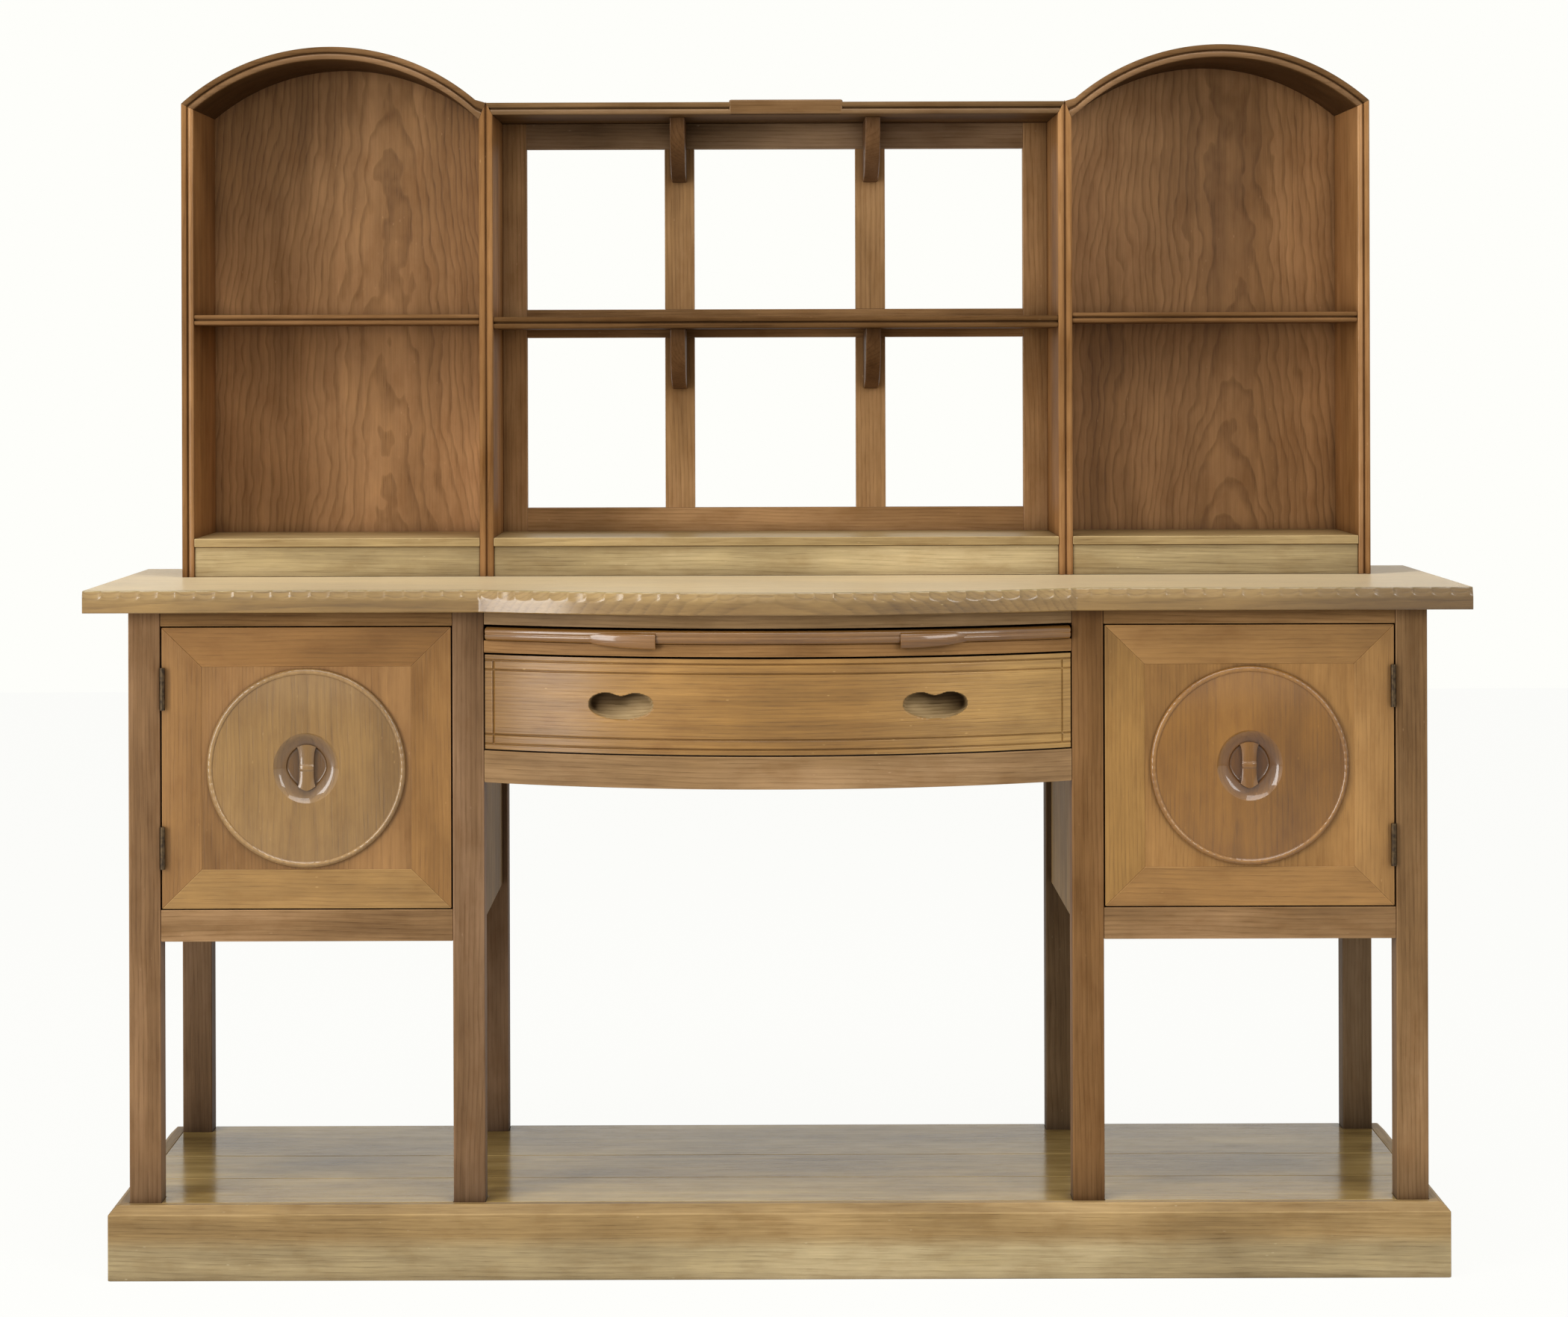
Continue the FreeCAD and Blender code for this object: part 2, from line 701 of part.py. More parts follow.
def slide():
    """The pull-out board and the two grips carved on its nosing."""
    nose = bow_at("slide_radius", "slide_half")
    corners = [
        ("-slide_half", "slide_rear"),
        ("-slide_half", nose),
        ("slide_half", nose, "0", "bow_front - slide_proud"),
        ("slide_half", "slide_rear"),
    ]
    body = plan_body(corners, "slide_low", "slide_thick")
    ahead = value("carcass_front")

    def nose_arris(edge, middle):
        return edge.Curve.TypeId == "Part::GeomCircle" and middle.y < ahead

    chamfer(body, "slide_nose", nose_arris)
    node(body, "slide_board")
    proud = "slide_radius + grip_proud"
    low = "slide_low - grip_drop"
    high = "slide_low + slide_thick - slide_nose / 2"
    bend_x = f"grip_inner + grip_length * {GRIP_BEND_SHARES[0]}"
    bend_z = f"slide_low - grip_drop * {GRIP_BEND_SHARES[1]}"
    rear_near = bow_at("slide_radius", "grip_inner")
    rear_middle = bow_at("slide_radius", "pull_offset")
    rear_far = bow_at("slide_radius", "grip_outer")
    grips = []
    for side in (LEFT, RIGHT):
        near = on_side(side, "grip_inner")
        middle = on_side(side, "pull_offset")
        far = on_side(side, "grip_outer")
        band = [
            (near, bow_at(proud, "grip_inner")),
            (far, rear_far, middle, bow_at(proud, "pull_offset")),
            (near, rear_near, middle, rear_middle),
        ]
        face = [
            (near, high),
            (near, low),
            (far, "slide_low + slide_nose", on_side(side, bend_x), bend_z),
            (far, high),
        ]
        blank = plan_body(band, low, "slide_thick + grip_drop")
        shape = front_body(face, "carcass_front", "rail_bow + slide_proud + grip_proud + cut_overrun")
        grips.append(common(blank, shape, "Grip"))
    group("slide_grips", grips)


def heart(side):
    """The outline of a finger recess: two lobes above and a rounded foot."""
    middle = on_side(side, "pull_offset")
    level = "drawer_low + drawer_height / 2"

    def spot(hand, shares):
        return f"{middle} + {hand} * pull_width * {shares[0]}", f"{level} + pull_height * {shares[1]}"

    cusp = (middle, f"{level} + pull_height / 2 - pull_dip")
    foot = (middle, f"{level} - pull_height / 2")
    return [
        cusp + spot(LEFT, LOBE_TOP_SHARES),
        spot(RIGHT, LOBE_SIDE_SHARES) + spot(RIGHT, LOBE_TOP_SHARES),
        foot + spot(RIGHT, FOOT_BEND_SHARES),
        spot(LEFT, LOBE_SIDE_SHARES) + spot(LEFT, FOOT_BEND_SHARES),
    ]


def drawer_front():
    """The bowed front, with its incised lines and its two carved recesses."""
    end = bow_at("bow_radius", "drawer_half")
    corners = [
        ("-drawer_half", "drawer_seat"),
        ("-drawer_half", end),
        ("drawer_half", end, "0", "bow_front"),
        ("drawer_half", "drawer_seat"),
        ("drawer_inner_half", "drawer_seat"),
        ("-drawer_inner_half", "drawer_seat", "0", "bow_front + drawer_front_thick"),
    ]
    body = new_body()
    pad(body, outline(body, "XY_Plane", corners, "drawer_low"), "drawer_height")
    doc.recompute()
    past = "drawer_half + cut_overrun"
    groove_end = bow_at("bow_radius - line_depth", past)
    ahead = "bow_front - cut_overrun"
    groove = [
        (f"-({past})", groove_end),
        (f"-({past})", ahead),
        (past, ahead),
        (past, groove_end),
    ]
    groove[0] += ("0", "bow_front + line_depth")
    for near in ("line_inset", "line_inset + line_pitch"):
        for level in (f"drawer_low + {near}", f"drawer_low + drawer_height - ({near})"):
            line = outline(body, "XY_Plane", groove, f"{level} + line_width / 2")
            pocket(body, line, "line_width")
    floor = bow_at("bow_radius", "pull_offset") + " + pull_depth"
    for side in (LEFT, RIGHT):
        recess = outline(body, "XZ_Plane", heart(side), f"-({ahead})")
        pocket(body, recess, f"{floor} - ({ahead})")
    node(body, "drawer_front")


def drawer_box():
    """The drawer's sides, back and bottom."""
    sides = []
    for side in (LEFT, RIGHT):
        plate = box(
            across(side, "drawer_inner_half", "drawer_half"),
            ("drawer_seat", "drawer_rear"),
            ("drawer_low", "drawer_low + drawer_height - drawer_side_drop"),
            "DrawerSide",
        )
        groove = box(
            across(side, "drawer_inner_half - cut_overrun", "drawer_inner_half + drawer_groove"),
            ("drawer_seat - cut_overrun", "drawer_rear + cut_overrun"),
            ("drawer_floor_low", "drawer_floor_low + drawer_floor_thick"),
            "DrawerGroove",
        )
        sides.append(cut(plate, groove, "GroovedSide"))
    group("drawer_sides", sides)
    back = box(
        ("-drawer_inner_half", "drawer_inner_half"),
        ("drawer_rear - drawer_side_thick", "drawer_rear"),
        (
            "drawer_floor_low + drawer_floor_thick",
            "drawer_low + drawer_height - 2 * drawer_side_drop",
        ),
    )
    node(back, "drawer_back")
    wide = "drawer_inner_half + drawer_groove"
    corners = [
        ("-drawer_inner_half", "drawer_seat"),
        ("drawer_inner_half", "drawer_seat", "0", "bow_front + drawer_front_thick"),
        (wide, "drawer_seat"),
        (wide, "drawer_rear"),
        (f"-({wide})", "drawer_rear"),
        (f"-({wide})", "drawer_seat"),
    ]
    node(plan_body(corners, "drawer_floor_low", "drawer_floor_thick"), "drawer_bottom")


def door_frame(side, word):
    """Two stiles and two rails, mitred at the corners."""
    outer = [("-door_half", "door_low"), ("door_half", "door_low")]
    outer += [("door_half", "door_high"), ("-door_half", "door_high")]
    inward = [("frame_width", "frame_width"), ("-frame_width", "frame_width")]
    inward += [("-frame_width", "-frame_width"), ("frame_width", "-frame_width")]
    middle = on_side(side, "door_centre")
    members = []
    for number, near in enumerate(outer):
        following = (number + 1) % len(outer)
        far = outer[following]
        corners = []
        for (x, z), (dx, dz) in (
            (near, ("0", "0")),
            (far, ("0", "0")),
            (far, inward[following]),
            (near, inward[number]),
        ):
            corners.append((f"{middle} + {x} + {dx}", f"{z} + {dz}"))
        members.append(front_body(corners, "door_rear", "door_thick"))
    group(f"door_frame_{word}", members)


def turned(radius, length, place):
    """A cylinder whose axis runs back along Y from three formulas."""
    cylinder = doc.addObject("Part::Cylinder", "Turned")
    cylinder.setExpression("Radius", bound(radius))
    cylinder.setExpression("Height", bound(length))
    cylinder.Placement.Rotation = FreeCAD.Rotation(FreeCAD.Vector(1, 0, 0), -QUARTER_TURN)
    for letter, formula in zip("xyz", place):
        cylinder.setExpression(f"Placement.Base.{letter}", bound(formula))
    return cylinder


def door_panel(side, word):
    """The flush panel, with the round seat that the roundel is let into."""
    middle = on_side(side, "door_centre")
    inner = "door_half - frame_width"
    face = "rail_face + door_panel_setback"
    plate = box(
        (f"{middle} - ({inner})", f"{middle} + {inner}"),
        (face, f"{face} + door_panel_thick"),
        ("door_low + frame_width", "door_high - frame_width"),
        "DoorPanel",
    )
    place = (middle, f"{face} - cut_overrun", "door_middle")
    seat = turned("roundel_radius", f"roundel_rear - ({face}) + cut_overrun", place)
    node(cut(plate, seat), f"door_panel_{word}")


def door_roundel(side, word):
    """The turned disc: a raised rim, a sunk face, and a dished hollow with a grip."""
    body = new_body((on_side(side, "door_centre"), "roundel_rear", "door_middle"))
    rim = "roundel_radius - roundel_bead"
    low = "-(roundel_face - hollow_depth)"
    bend, rise = DISH_BEND_SHARES
    corners = [
        ("0", "0"),
        ("0", low),
        (f"hollow_radius * {bend}", f"{low} - hollow_depth * {rise}"),
        ("hollow_radius", "-roundel_face"),
    ]
    corners += [
        (rim, "-roundel_face"),
        ("roundel_radius - roundel_bead / 2", "-roundel_thick"),
        ("roundel_radius", "-roundel_face"),
        ("roundel_radius", "0"),
    ]
    turning = outline(body, "XY_Plane", corners)
    disc = body.newObject("PartDesign::Revolution", "Revolution")
    disc.Profile = turning
    disc.ReferenceAxis = (turning, ["V_Axis"])
    disc.Angle = FULL_TURN
    doc.recompute()
    half = "door_grip_width / 2"
    straight = "door_grip_height / 2 - door_grip_width / 2"
    bar = [
        (f"-{half}", straight),
        (f"-{half}", f"-({straight})"),
        (half, f"-({straight})", "0", "-door_grip_height / 2"),
        (half, straight),
    ]
    bar[0] += ("0", "door_grip_height / 2")
    foot = "(roundel_face - hollow_depth) / 2"
    pad(body, outline(body, "XZ_Plane", bar, foot), f"roundel_face - {foot}")
    node(body, f"door_roundel_{word}")


def hinges():
    """Butt hinges: the leaf, end knuckles and pin stay, the middle knuckle swings."""
    fixed = []
    third = "hinge_height / 3"
    for side, word in SIDES:
        moving = []
        pin_x = on_side(side, "pin_side")
        for middle in ("door_low + hinge_inset", "door_high - hinge_inset"):
            low = f"{middle} - hinge_height / 2"
            knuckles = (
                (low, f"{low} + {third} - running_gap"),
                (f"{low} + 2 * {third} + running_gap", f"{low} + hinge_height"),
            )
            leaf_span = across(side, "jamb_outer - leaf_thick", "jamb_outer")
            back = ("carcass_front", "carcass_front + leaf_width")
            pieces = [box(leaf_span, back, (low, f"{low} + hinge_height"), "Leaf")]
            for foot, head in knuckles:
                place = (pin_x, "pin_line", foot)
                pieces.append(upright_cylinder("barrel_radius", f"{head} - ({foot})", place))
                pieces.append(box(leaf_span, ("pin_line", "carcass_front"), (foot, head), "Tab"))
            place = (pin_x, "pin_line", low)
            pieces.append(upright_cylinder("hinge_pin_radius", "hinge_height", place))
            fixed.append(fuse(pieces))
            leaf_span = across(side, "pin_side", "pin_side + leaf_thick")
            foot = f"{low} + {third}"
            head = f"{low} + 2 * {third}"
            place = (pin_x, "pin_line", foot)
            pieces = [box(leaf_span, back, (low, f"{low} + hinge_height"), "Leaf")]
            pieces.append(upright_cylinder("barrel_radius", third, place))
            pieces.append(box(leaf_span, ("pin_line", "carcass_front"), (foot, head), "Tab"))
            bore = upright_cylinder("hinge_pin_radius + pin_clearance", third, place)
            moving.append(cut(fuse(pieces), bore, "MovingLeaf"))
        group(f"hinge_leaves_{word}", moving)
    group("hinge_fixed_leaves", fixed)


def fuse(pieces):
    """One solid of several that touch."""
    result = doc.addObject("Part::MultiFuse", "Fuse")
    result.Shapes = pieces
    return result


def rack_uprights():
    """The outer sides, mitred to the arches, and the dividers."""
    full = "rack_top - worktop_height"
    for side, word in SIDES:
        section = reeded("rack_side_inner", "rack_half", "rack_front", "worktop_back")
        stock = plan_body(placed_on(side, section), "worktop_height", full)
        face = [
            (on_side(side, "rack_half"), "worktop_height"),
            (on_side(side, "rack_side_inner"), "worktop_height"),
            (on_side(side, "rack_side_inner"), "arch_side_spring"),
            (on_side(side, "rack_half"), "rack_top"),
        ]
        shape = front_body(face, "worktop_back", "rack_depth")
        node(common(stock, shape), f"rack_side_{word}")
        section = reeded("rack_centre_half", "divider_face", "rack_front", "worktop_back")
        divider = plan_body(placed_on(side, section), "worktop_height", full)
        node(divider, f"rack_divider_{word}")


def rack_arches():
    """The arched tops of the side bays: a reeded board bent over each bay."""
    for side, word in SIDES:
        body = new_body((on_side(side, "bay_centre"), "0", "arch_centre"))
        section = swapped(reeded("arch_inner", "arch_radius", "rack_front", "worktop_back"))
        profile = outline(body, "YZ_Plane", section)
        ring = body.newObject("PartDesign::Revolution", "Revolution")
        ring.Profile = profile
        ring.ReferenceAxis = (profile, ["H_Axis"])
        ring.Angle = FULL_TURN
        doc.recompute()
        face = [
            (on_side(side, "rack_half"), "rack_top"),
            (on_side(side, "rack_side_inner"), "arch_side_spring"),
            (
                on_side(side, "divider_face"),
                "arch_divider_spring",
                on_side(side, "bay_centre"),
                "arch_centre + arch_inner",
            ),
            (on_side(side, "divider_face"), "rack_top"),
        ]
        face[0] += (on_side(side, "bay_centre"), "overall_height")
        shape = front_body(face, "worktop_back", "rack_depth")
        node(common(body, shape), f"rack_arch_{word}")


def rack_top():
    """The board over the centre bay, with the plain tablet let into its front."""
    section = swapped(reeded("rack_top_low", "rack_top", "rack_front", "worktop_back"))
    board = side_body(section, "-rack_centre_half", "2 * rack_centre_half")
    ends = ("tablet_offset - tablet_length / 2", "tablet_offset + tablet_length / 2")
    notch = box(
        ends,
        ("rack_front - cut_overrun", "rack_front + tablet_depth"),
        ("rack_top_low - cut_overrun", "rack_top + cut_overrun"),
        "TabletNotch",
    )
    node(cut(board, notch), "rack_top_board")
    levels = ("rack_top_low", "rack_top + tablet_rise")
    node(box(ends, ("rack_front", "rack_front + tablet_depth"), levels), "rack_tablet")


def rack_shelves():
    """A shelf in each bay, reeded along its front edge."""
    front = "rack_front + shelf_setback"
    levels = ("side_shelf_top - side_shelf_thick", "side_shelf_top")
    section = swapped(reeded(*levels, front, "panel_face"))
    shelves = []
    for side in (LEFT, RIGHT):
        left, right = across(side, "divider_face", "rack_side_inner")
        shelves.append(side_body(section, left, f"({right}) - ({left})"))
    group("rack_side_shelves", shelves)
    section = swapped(reeded("centre_shelf_under", "centre_shelf_top", front, "frame_face"))
    node(side_body(section, "-rack_centre_half", "2 * rack_centre_half"), "rack_centre_shelf")


def rack_backs():
    """The boarded backs of the side bays, shaped to the arches."""
    panels = []
    for side in (LEFT, RIGHT):
        corners = [
            (on_side(side, "divider_face"), "worktop_height"),
            (on_side(side, "rack_side_inner"), "worktop_height"),
            (on_side(side, "rack_side_inner"), "arch_side_spring"),
            (
                on_side(side, "divider_face"),
                "arch_divider_spring",
                on_side(side, "bay_centre"),
                "arch_centre + arch_inner",
            ),
        ]
        panels.append(front_body(corners, "worktop_back", "rack_panel_thick"))
    group("rack_back_panels", panels)


def rack_back_frame():
    """The open frame behind the centre bay: stiles, rails and muntins."""
    depths = ("frame_face", "worktop_back")
    full = ("worktop_height", "rack_top_low")
    members = []
    for side in (LEFT, RIGHT):
        stile = across(side, "rack_centre_half - stile_width", "rack_centre_half")
        members.append(box(stile, depths, full, "Stile"))
    between = ("-(rack_centre_half - stile_width)", "rack_centre_half - stile_width")
    low = ("worktop_height", "frame_low_top")
    middle = ("frame_middle - frame_middle_rail / 2", "frame_middle + frame_middle_rail / 2")
    high = ("frame_top_low", "rack_top_low")
    for levels in (low, middle, high):
        members.append(box(between, depths, levels, "Rail"))
    for levels in ((low[1], middle[0]), (middle[1], high[0])):
        for side in (LEFT, RIGHT):
            muntin = across(
                side,
                "muntin_offset - muntin_width / 2",
                "muntin_offset + muntin_width / 2",
            )
            members.append(box(muntin, depths, levels, "Muntin"))
    group("rack_back_frame", members)


def rack_brackets():
    """Four curved brackets under the top board and the centre shelf."""
    reach, drop = BRACKET_BEND_SHARES
    brackets = []
    for top in ("rack_top_low", "centre_shelf_under"):
        corners = [
            ("frame_face", top),
            ("frame_face - bracket_reach", top),
            ("frame_face - bracket_reach", f"{top} - bracket_lip"),
            (
                "frame_face",
                f"{top} - bracket_height",
                f"frame_face - bracket_reach * (1 - {reach})",
                f"{top} - bracket_height * (1 - {drop})",
            ),
        ]
        for side in (LEFT, RIGHT):
            left, right = across(
                side,
                "muntin_offset - bracket_thick / 2",
                "muntin_offset + bracket_thick / 2",
            )
            brackets.append(side_body(corners, left, "bracket_thick"))
    group("rack_brackets", brackets)


def rack_ledges():
    """The raised floor of each bay and the fascia under its front edge."""
    floors = []
    fascias = []
    spans = [across(side, "divider_face", "rack_side_inner") for side in (LEFT, RIGHT)]
    bays = [(span, "panel_face") for span in spans]
    bays.append((("-rack_centre_half", "rack_centre_half"), "frame_face"))
    under = "ledge_top - ledge_thick"
    depths = ("rack_front + fascia_setback", "rack_front + fascia_setback + fascia_thick")
    for span, rear in bays:
        floors.append(box(span, ("rack_front", rear), (under, "ledge_top"), "Ledge"))
        fascias.append(box(span, depths, ("worktop_height", under), "Fascia"))
    group("rack_floors", floors)
    group("rack_fascias", fascias)


def check_document():
    """Stop if any object failed or any sub-part is not a good solid."""
    for thing in doc.Objects:
        if "Invalid" in thing.State or "Error" in thing.State:
            raise ValueError("failed: " + thing.Name + " " + thing.Label)
    for thing in nodes:
        shape = thing.Shape
        if shape.isNull() or not shape.isValid() or not shape.Solids:
            raise ValueError("bad shape: " + thing.Label)


def export():
    """Write every sub-part to a file named after it."""
    os.makedirs("parts", exist_ok=True)
    for thing in nodes:
        thing.Shape.exportStep(f"parts/{thing.Label}.step")


tolerance = 0.001

fill_sheet()
worktop()
all_legs = legs()
plinth()
pot_board(all_legs)
cupboards(all_legs)
centre_rails()
runners()
slide()
drawer_front()
drawer_box()
for hand, side_word in SIDES:
    door_frame(hand, side_word)
    door_panel(hand, side_word)
    door_roundel(hand, side_word)
hinges()
rack_uprights()
rack_arches()
rack_top()
rack_shelves()
rack_backs()
rack_back_frame()
rack_brackets()
rack_ledges()
doc.recompute()
check_document()
export()
print(len(nodes), "sub-parts")
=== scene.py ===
import json
import math
import random

import bmesh
import bpy
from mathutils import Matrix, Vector

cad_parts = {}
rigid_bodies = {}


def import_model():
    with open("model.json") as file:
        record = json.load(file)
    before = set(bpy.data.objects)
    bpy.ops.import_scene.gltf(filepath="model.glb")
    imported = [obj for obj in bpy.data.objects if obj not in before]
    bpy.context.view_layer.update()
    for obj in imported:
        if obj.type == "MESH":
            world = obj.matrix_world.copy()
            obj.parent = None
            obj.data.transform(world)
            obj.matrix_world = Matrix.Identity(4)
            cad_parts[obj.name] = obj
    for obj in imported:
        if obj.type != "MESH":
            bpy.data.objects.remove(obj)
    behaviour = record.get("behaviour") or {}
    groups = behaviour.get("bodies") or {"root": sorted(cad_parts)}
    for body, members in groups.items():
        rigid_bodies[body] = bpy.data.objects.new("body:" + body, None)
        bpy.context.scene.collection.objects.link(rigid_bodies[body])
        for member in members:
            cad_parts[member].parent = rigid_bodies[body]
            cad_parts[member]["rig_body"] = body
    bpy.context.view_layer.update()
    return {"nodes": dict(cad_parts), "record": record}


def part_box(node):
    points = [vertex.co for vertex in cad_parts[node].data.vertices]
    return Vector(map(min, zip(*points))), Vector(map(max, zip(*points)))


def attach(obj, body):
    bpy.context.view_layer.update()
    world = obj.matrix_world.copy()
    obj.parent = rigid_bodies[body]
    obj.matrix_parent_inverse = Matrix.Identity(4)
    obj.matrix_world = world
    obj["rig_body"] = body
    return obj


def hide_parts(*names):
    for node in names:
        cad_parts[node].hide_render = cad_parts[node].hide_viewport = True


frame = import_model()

# The looks of a free-standing oak dresser. Sizes are in metres and come from the
# frame where it has them. Every piece is oak but the hinges, each with its own grain.

# The photograph's frame and the camera solved from it
PHOTO_WIDTH = 2100
PHOTO_HEIGHT = 1764
EYE_COLUMN = 1017.1
EYE_ROW = 490.6
FOCAL_PIXELS = 5164
EYE_PLACE = (-0.023, -5.3015, 1.202)
EYE_ROLL = math.radians(0.17)
SENSOR_WIDTH = 36.0

# Studio. Each lamp has its place, its aim, its width and height, and its power.
LAMPS = (
    ("soft_box_left", (-3.9, -3.7, 1.95), (0, 0, 1.4), 1.6, 3.8, 150),
    ("soft_box_right", (3.8, -4.6, 2.6), (0, 0, 0.9), 1.4, 2.2, 62),
    ("soft_box_above", (0, -1.6, 4.6), (0, 0.1, 0.8), 3.6, 2.4, 95),
)
WORLD_STRENGTH = 0.32
FLOOR_HALF = 9.0

# Edges and steps
ARRIS = 0.0012
FINE_ARRIS = 0.0006
LEG_ARRIS = 0.002
TABLET_ARRIS = 0.0025
SHARP_ANGLE = math.radians(30)
ARC_STEP = 0.006
REED_STEPS = 10

# Reeded edges
REED_RISE = 0.0022
REED_GROOVE = 0.0022
REED_SINK = 0.002

# Worktop edge
TOP_STEP = 0.005
FACE_STEP = 0.0012
TOP_ROUND = 0.0012
GOUGE_PITCH = 0.025
GOUGE_DROP = 0.014
GOUGE_RIDGE_SHARE = 0.50
GOUGE_SLOPE = 0.40
STATION_STEP = 0.0021
FACING_FRONT = -0.2
TOP_INSETS = ((0.006, 0.0), (TOP_ROUND, 0.0), (TOP_ROUND * 0.3, TOP_ROUND * 0.3))

# Slide
NOSE_STEPS = 24
NOSE_ROUND = 0.0055
NOSE_SQUARENESS = 2.4
NOSE_GROOVE = 0.0013
NOSE_GROOVE_SHARE = 0.16
SLIDE_GRIP_HALF_LENGTH = 0.046
SLIDE_GRIP_STEP = 0.003
SLIDE_GRIP_ROUND_STEPS = 12
SLIDE_GRIP_LEAST_SHARE = 0.35
SLIDE_GRIP_THIN = 0.001
SLIDE_GRIP_SWELL = 0.0062
SLIDE_GRIP_SINK = 0.0035

# Drawer
LINE_WIDTH = 0.0030
LINE_DEPTH = 0.0023
LINE_INSET = 0.007
LINE_PITCH = 0.0125
LINE_STEP = 0.0006
END_LINE_INSET = 0.0115
END_LINE_REACH = 0.0025
FRONT_STEP = 0.005
FRONT_ROW_STEP = 0.006
END_STEP = 0.003
PULL_STEP = 0.0011
PULL_REACH = 0.045
PULL_REACH_UP = 0.024
PULL_RIM = 0.001
PULL_PLACE_SHARE = 0.5277
PULL_HALF_WIDTH = 0.0425
PULL_HALF_HEIGHT = 0.0185
PULL_DEPTH = 0.0150
PULL_SQUARENESS = 2.7
PULL_FOOT_SQUARENESS = 1.9
PULL_SLANT = 0.55
PULL_LOBE_SHARE = 0.30
DRAWER_FRONT_THICK = 0.025
DRAWER_SIDE_THICK = 0.012
APRON_THICK = 0.024

# Doors
FRAME_WIDTH = 0.051
DOOR_SWELL = 0.0018
DOOR_STRETCH = 0.0008
FRAME_ARRIS = 0.0008
ROUNDEL_RADIUS = 0.1315
ROUNDEL_SINK = 0.0028
RIM_WIDTH = 0.0078
RIM_NOTCHES = 84
RIM_NOTCH_SHARE = 0.16
HOLLOW_HALF_WIDTH = 0.0435
HOLLOW_HALF_HEIGHT = 0.0465
COVE_DEPTH = 0.0072
WELL_HALF_WIDTH = 0.0275
WELL_HALF_HEIGHT = 0.0305
WELL_POINT = 1.5
WELL_WALL_SHARE = 0.12
WELL_DEPTH = 0.0100
GRIP_HALF_WIDTH = 0.0096
GRIP_SINK = 0.0030
GRIP_FALL = 0.0022
COLLAR_HALF = 0.0042
COLLAR_RISE = 0.0011

# Rack
ARCH_THICK = 0.0175
ARCH_STEPS = 72
STILE_WIDTH = 0.035
MUNTIN_WIDTH = 0.043
MUNTIN_PLACE_SHARE = 0.35
FRAME_LOW_RAIL = 0.088
FRAME_MIDDLE_RAIL = 0.041
FRAME_MIDDLE_DROP = 0.0075
FRAME_TOP_RAIL = 0.037
BRACKET_THICK = 0.021
BRACKET_HEIGHT = 0.086
BRACKET_REACH = 0.150
BRACKET_LIP = 0.006
BRACKET_STEPS = 16

LEFT = -1
RIGHT = 1
SIDES = ((LEFT, "left"), (RIGHT, "right"))


def low_corner(node):
    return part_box(node)[0]


def high_corner(node):
    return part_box(node)[1]


# Places that follow from the frame
knee_half = high_corner("frieze_rail").x
bow_front = low_corner("frieze_rail").y
carcass_front = low_corner("leg_front_inner_left").y
leg_rear = high_corner("leg_front_inner_left").y
rail_bow = carcass_front - bow_front
bow_radius = (knee_half ** 2 + rail_bow ** 2) / (2 * rail_bow)
bow_centre = bow_front + bow_radius
slot_of = {part["node"]: part["material_slot"] for part in frame["record"]["subparts"]}


# Colours and materials

def linear(colour):
    """A colour of the screen, 0 to 255, as the shader takes it."""
    levels = []
    for level in colour:
        share = level / 255
        if share <= 0.04045:
            levels.append(share / 12.92)
        else:
            levels.append(((share + 0.055) / 1.055) ** 2.4)
    return (*levels, 1.0)


class Graph:
    """The nodes of a material or a world, added one at a time."""

    def __init__(self, owner):
        self.owner = owner
        owner.use_nodes = True
        self.nodes = owner.node_tree.nodes
        self.links = owner.node_tree.links
        self.nodes.clear()

    def add(self, kind, sources, **settings):
        """A node with its settings, and each input fed by a value or an output."""
        node = self.nodes.new("ShaderNode" + kind)
        for name, setting in settings.items():
            setattr(node, name, setting)
        for name, source in sources.items():
            if isinstance(source, bpy.types.NodeSocket):
                self.links.new(source, node.inputs[name])
            else:
                node.inputs[name].default_value = source
        return node

    def math(self, operation, first, second=0.0):
        return self.add("Math", {0: first, 1: second}, operation=operation).outputs[0]

    def total(self, start, *shares):
        """A start plus each source times its weight."""
        for source, weight in shares:
            node = self.add("Math", {0: source, 1: weight, 2: start}, operation="MULTIPLY_ADD")
            start = node.outputs[0]
        return start

    def spread(self, vector, stretch):
        """The vector with each direction drawn out or pressed together."""
        node = self.add("VectorMath", {0: vector, 1: stretch}, operation="MULTIPLY")
        return node.outputs[0]

    def noise(self, vector, stretch, detail, rough=0.5):
        sources = {"Vector": self.spread(vector, stretch), "Scale": 1.0}
        sources.update({"Detail": detail, "Roughness": rough})
        return self.add("TexNoise", sources).outputs[0]

    def blend(self, share, first, second, blend_type="MIX"):
        """Two colours mixed by a share. The second may be plain."""
        node = self.add("Mix", {"Factor": share}, data_type="RGBA", blend_type=blend_type)
        ends = [socket for socket in node.inputs if socket.type == "RGBA"]
        self.links.new(first, ends[0])
        if isinstance(second, bpy.types.NodeSocket):
            self.links.new(second, ends[1])
        else:
            ends[1].default_value = second
        return [socket for socket in node.outputs if socket.type == "RGBA"][0]

    def tint(self, first, second):
        """Two colours multiplied together."""
        return self.blend(1.0, first, second, "MULTIPLY")

    def ramp(self, source, stops):
        """A colour or a level read off a row of (place, colour) stops."""
        node = self.add("ValToRGB", {0: source})
        elements = node.color_ramp.elements
        while len(elements) < len(stops):
            elements.new(0.5)
        for element, (place, colour) in zip(elements, stops):
            element.position = place
            element.color = colour
        return node.outputs[0]


def grey(level):
    return (level, level, level, 1.0)


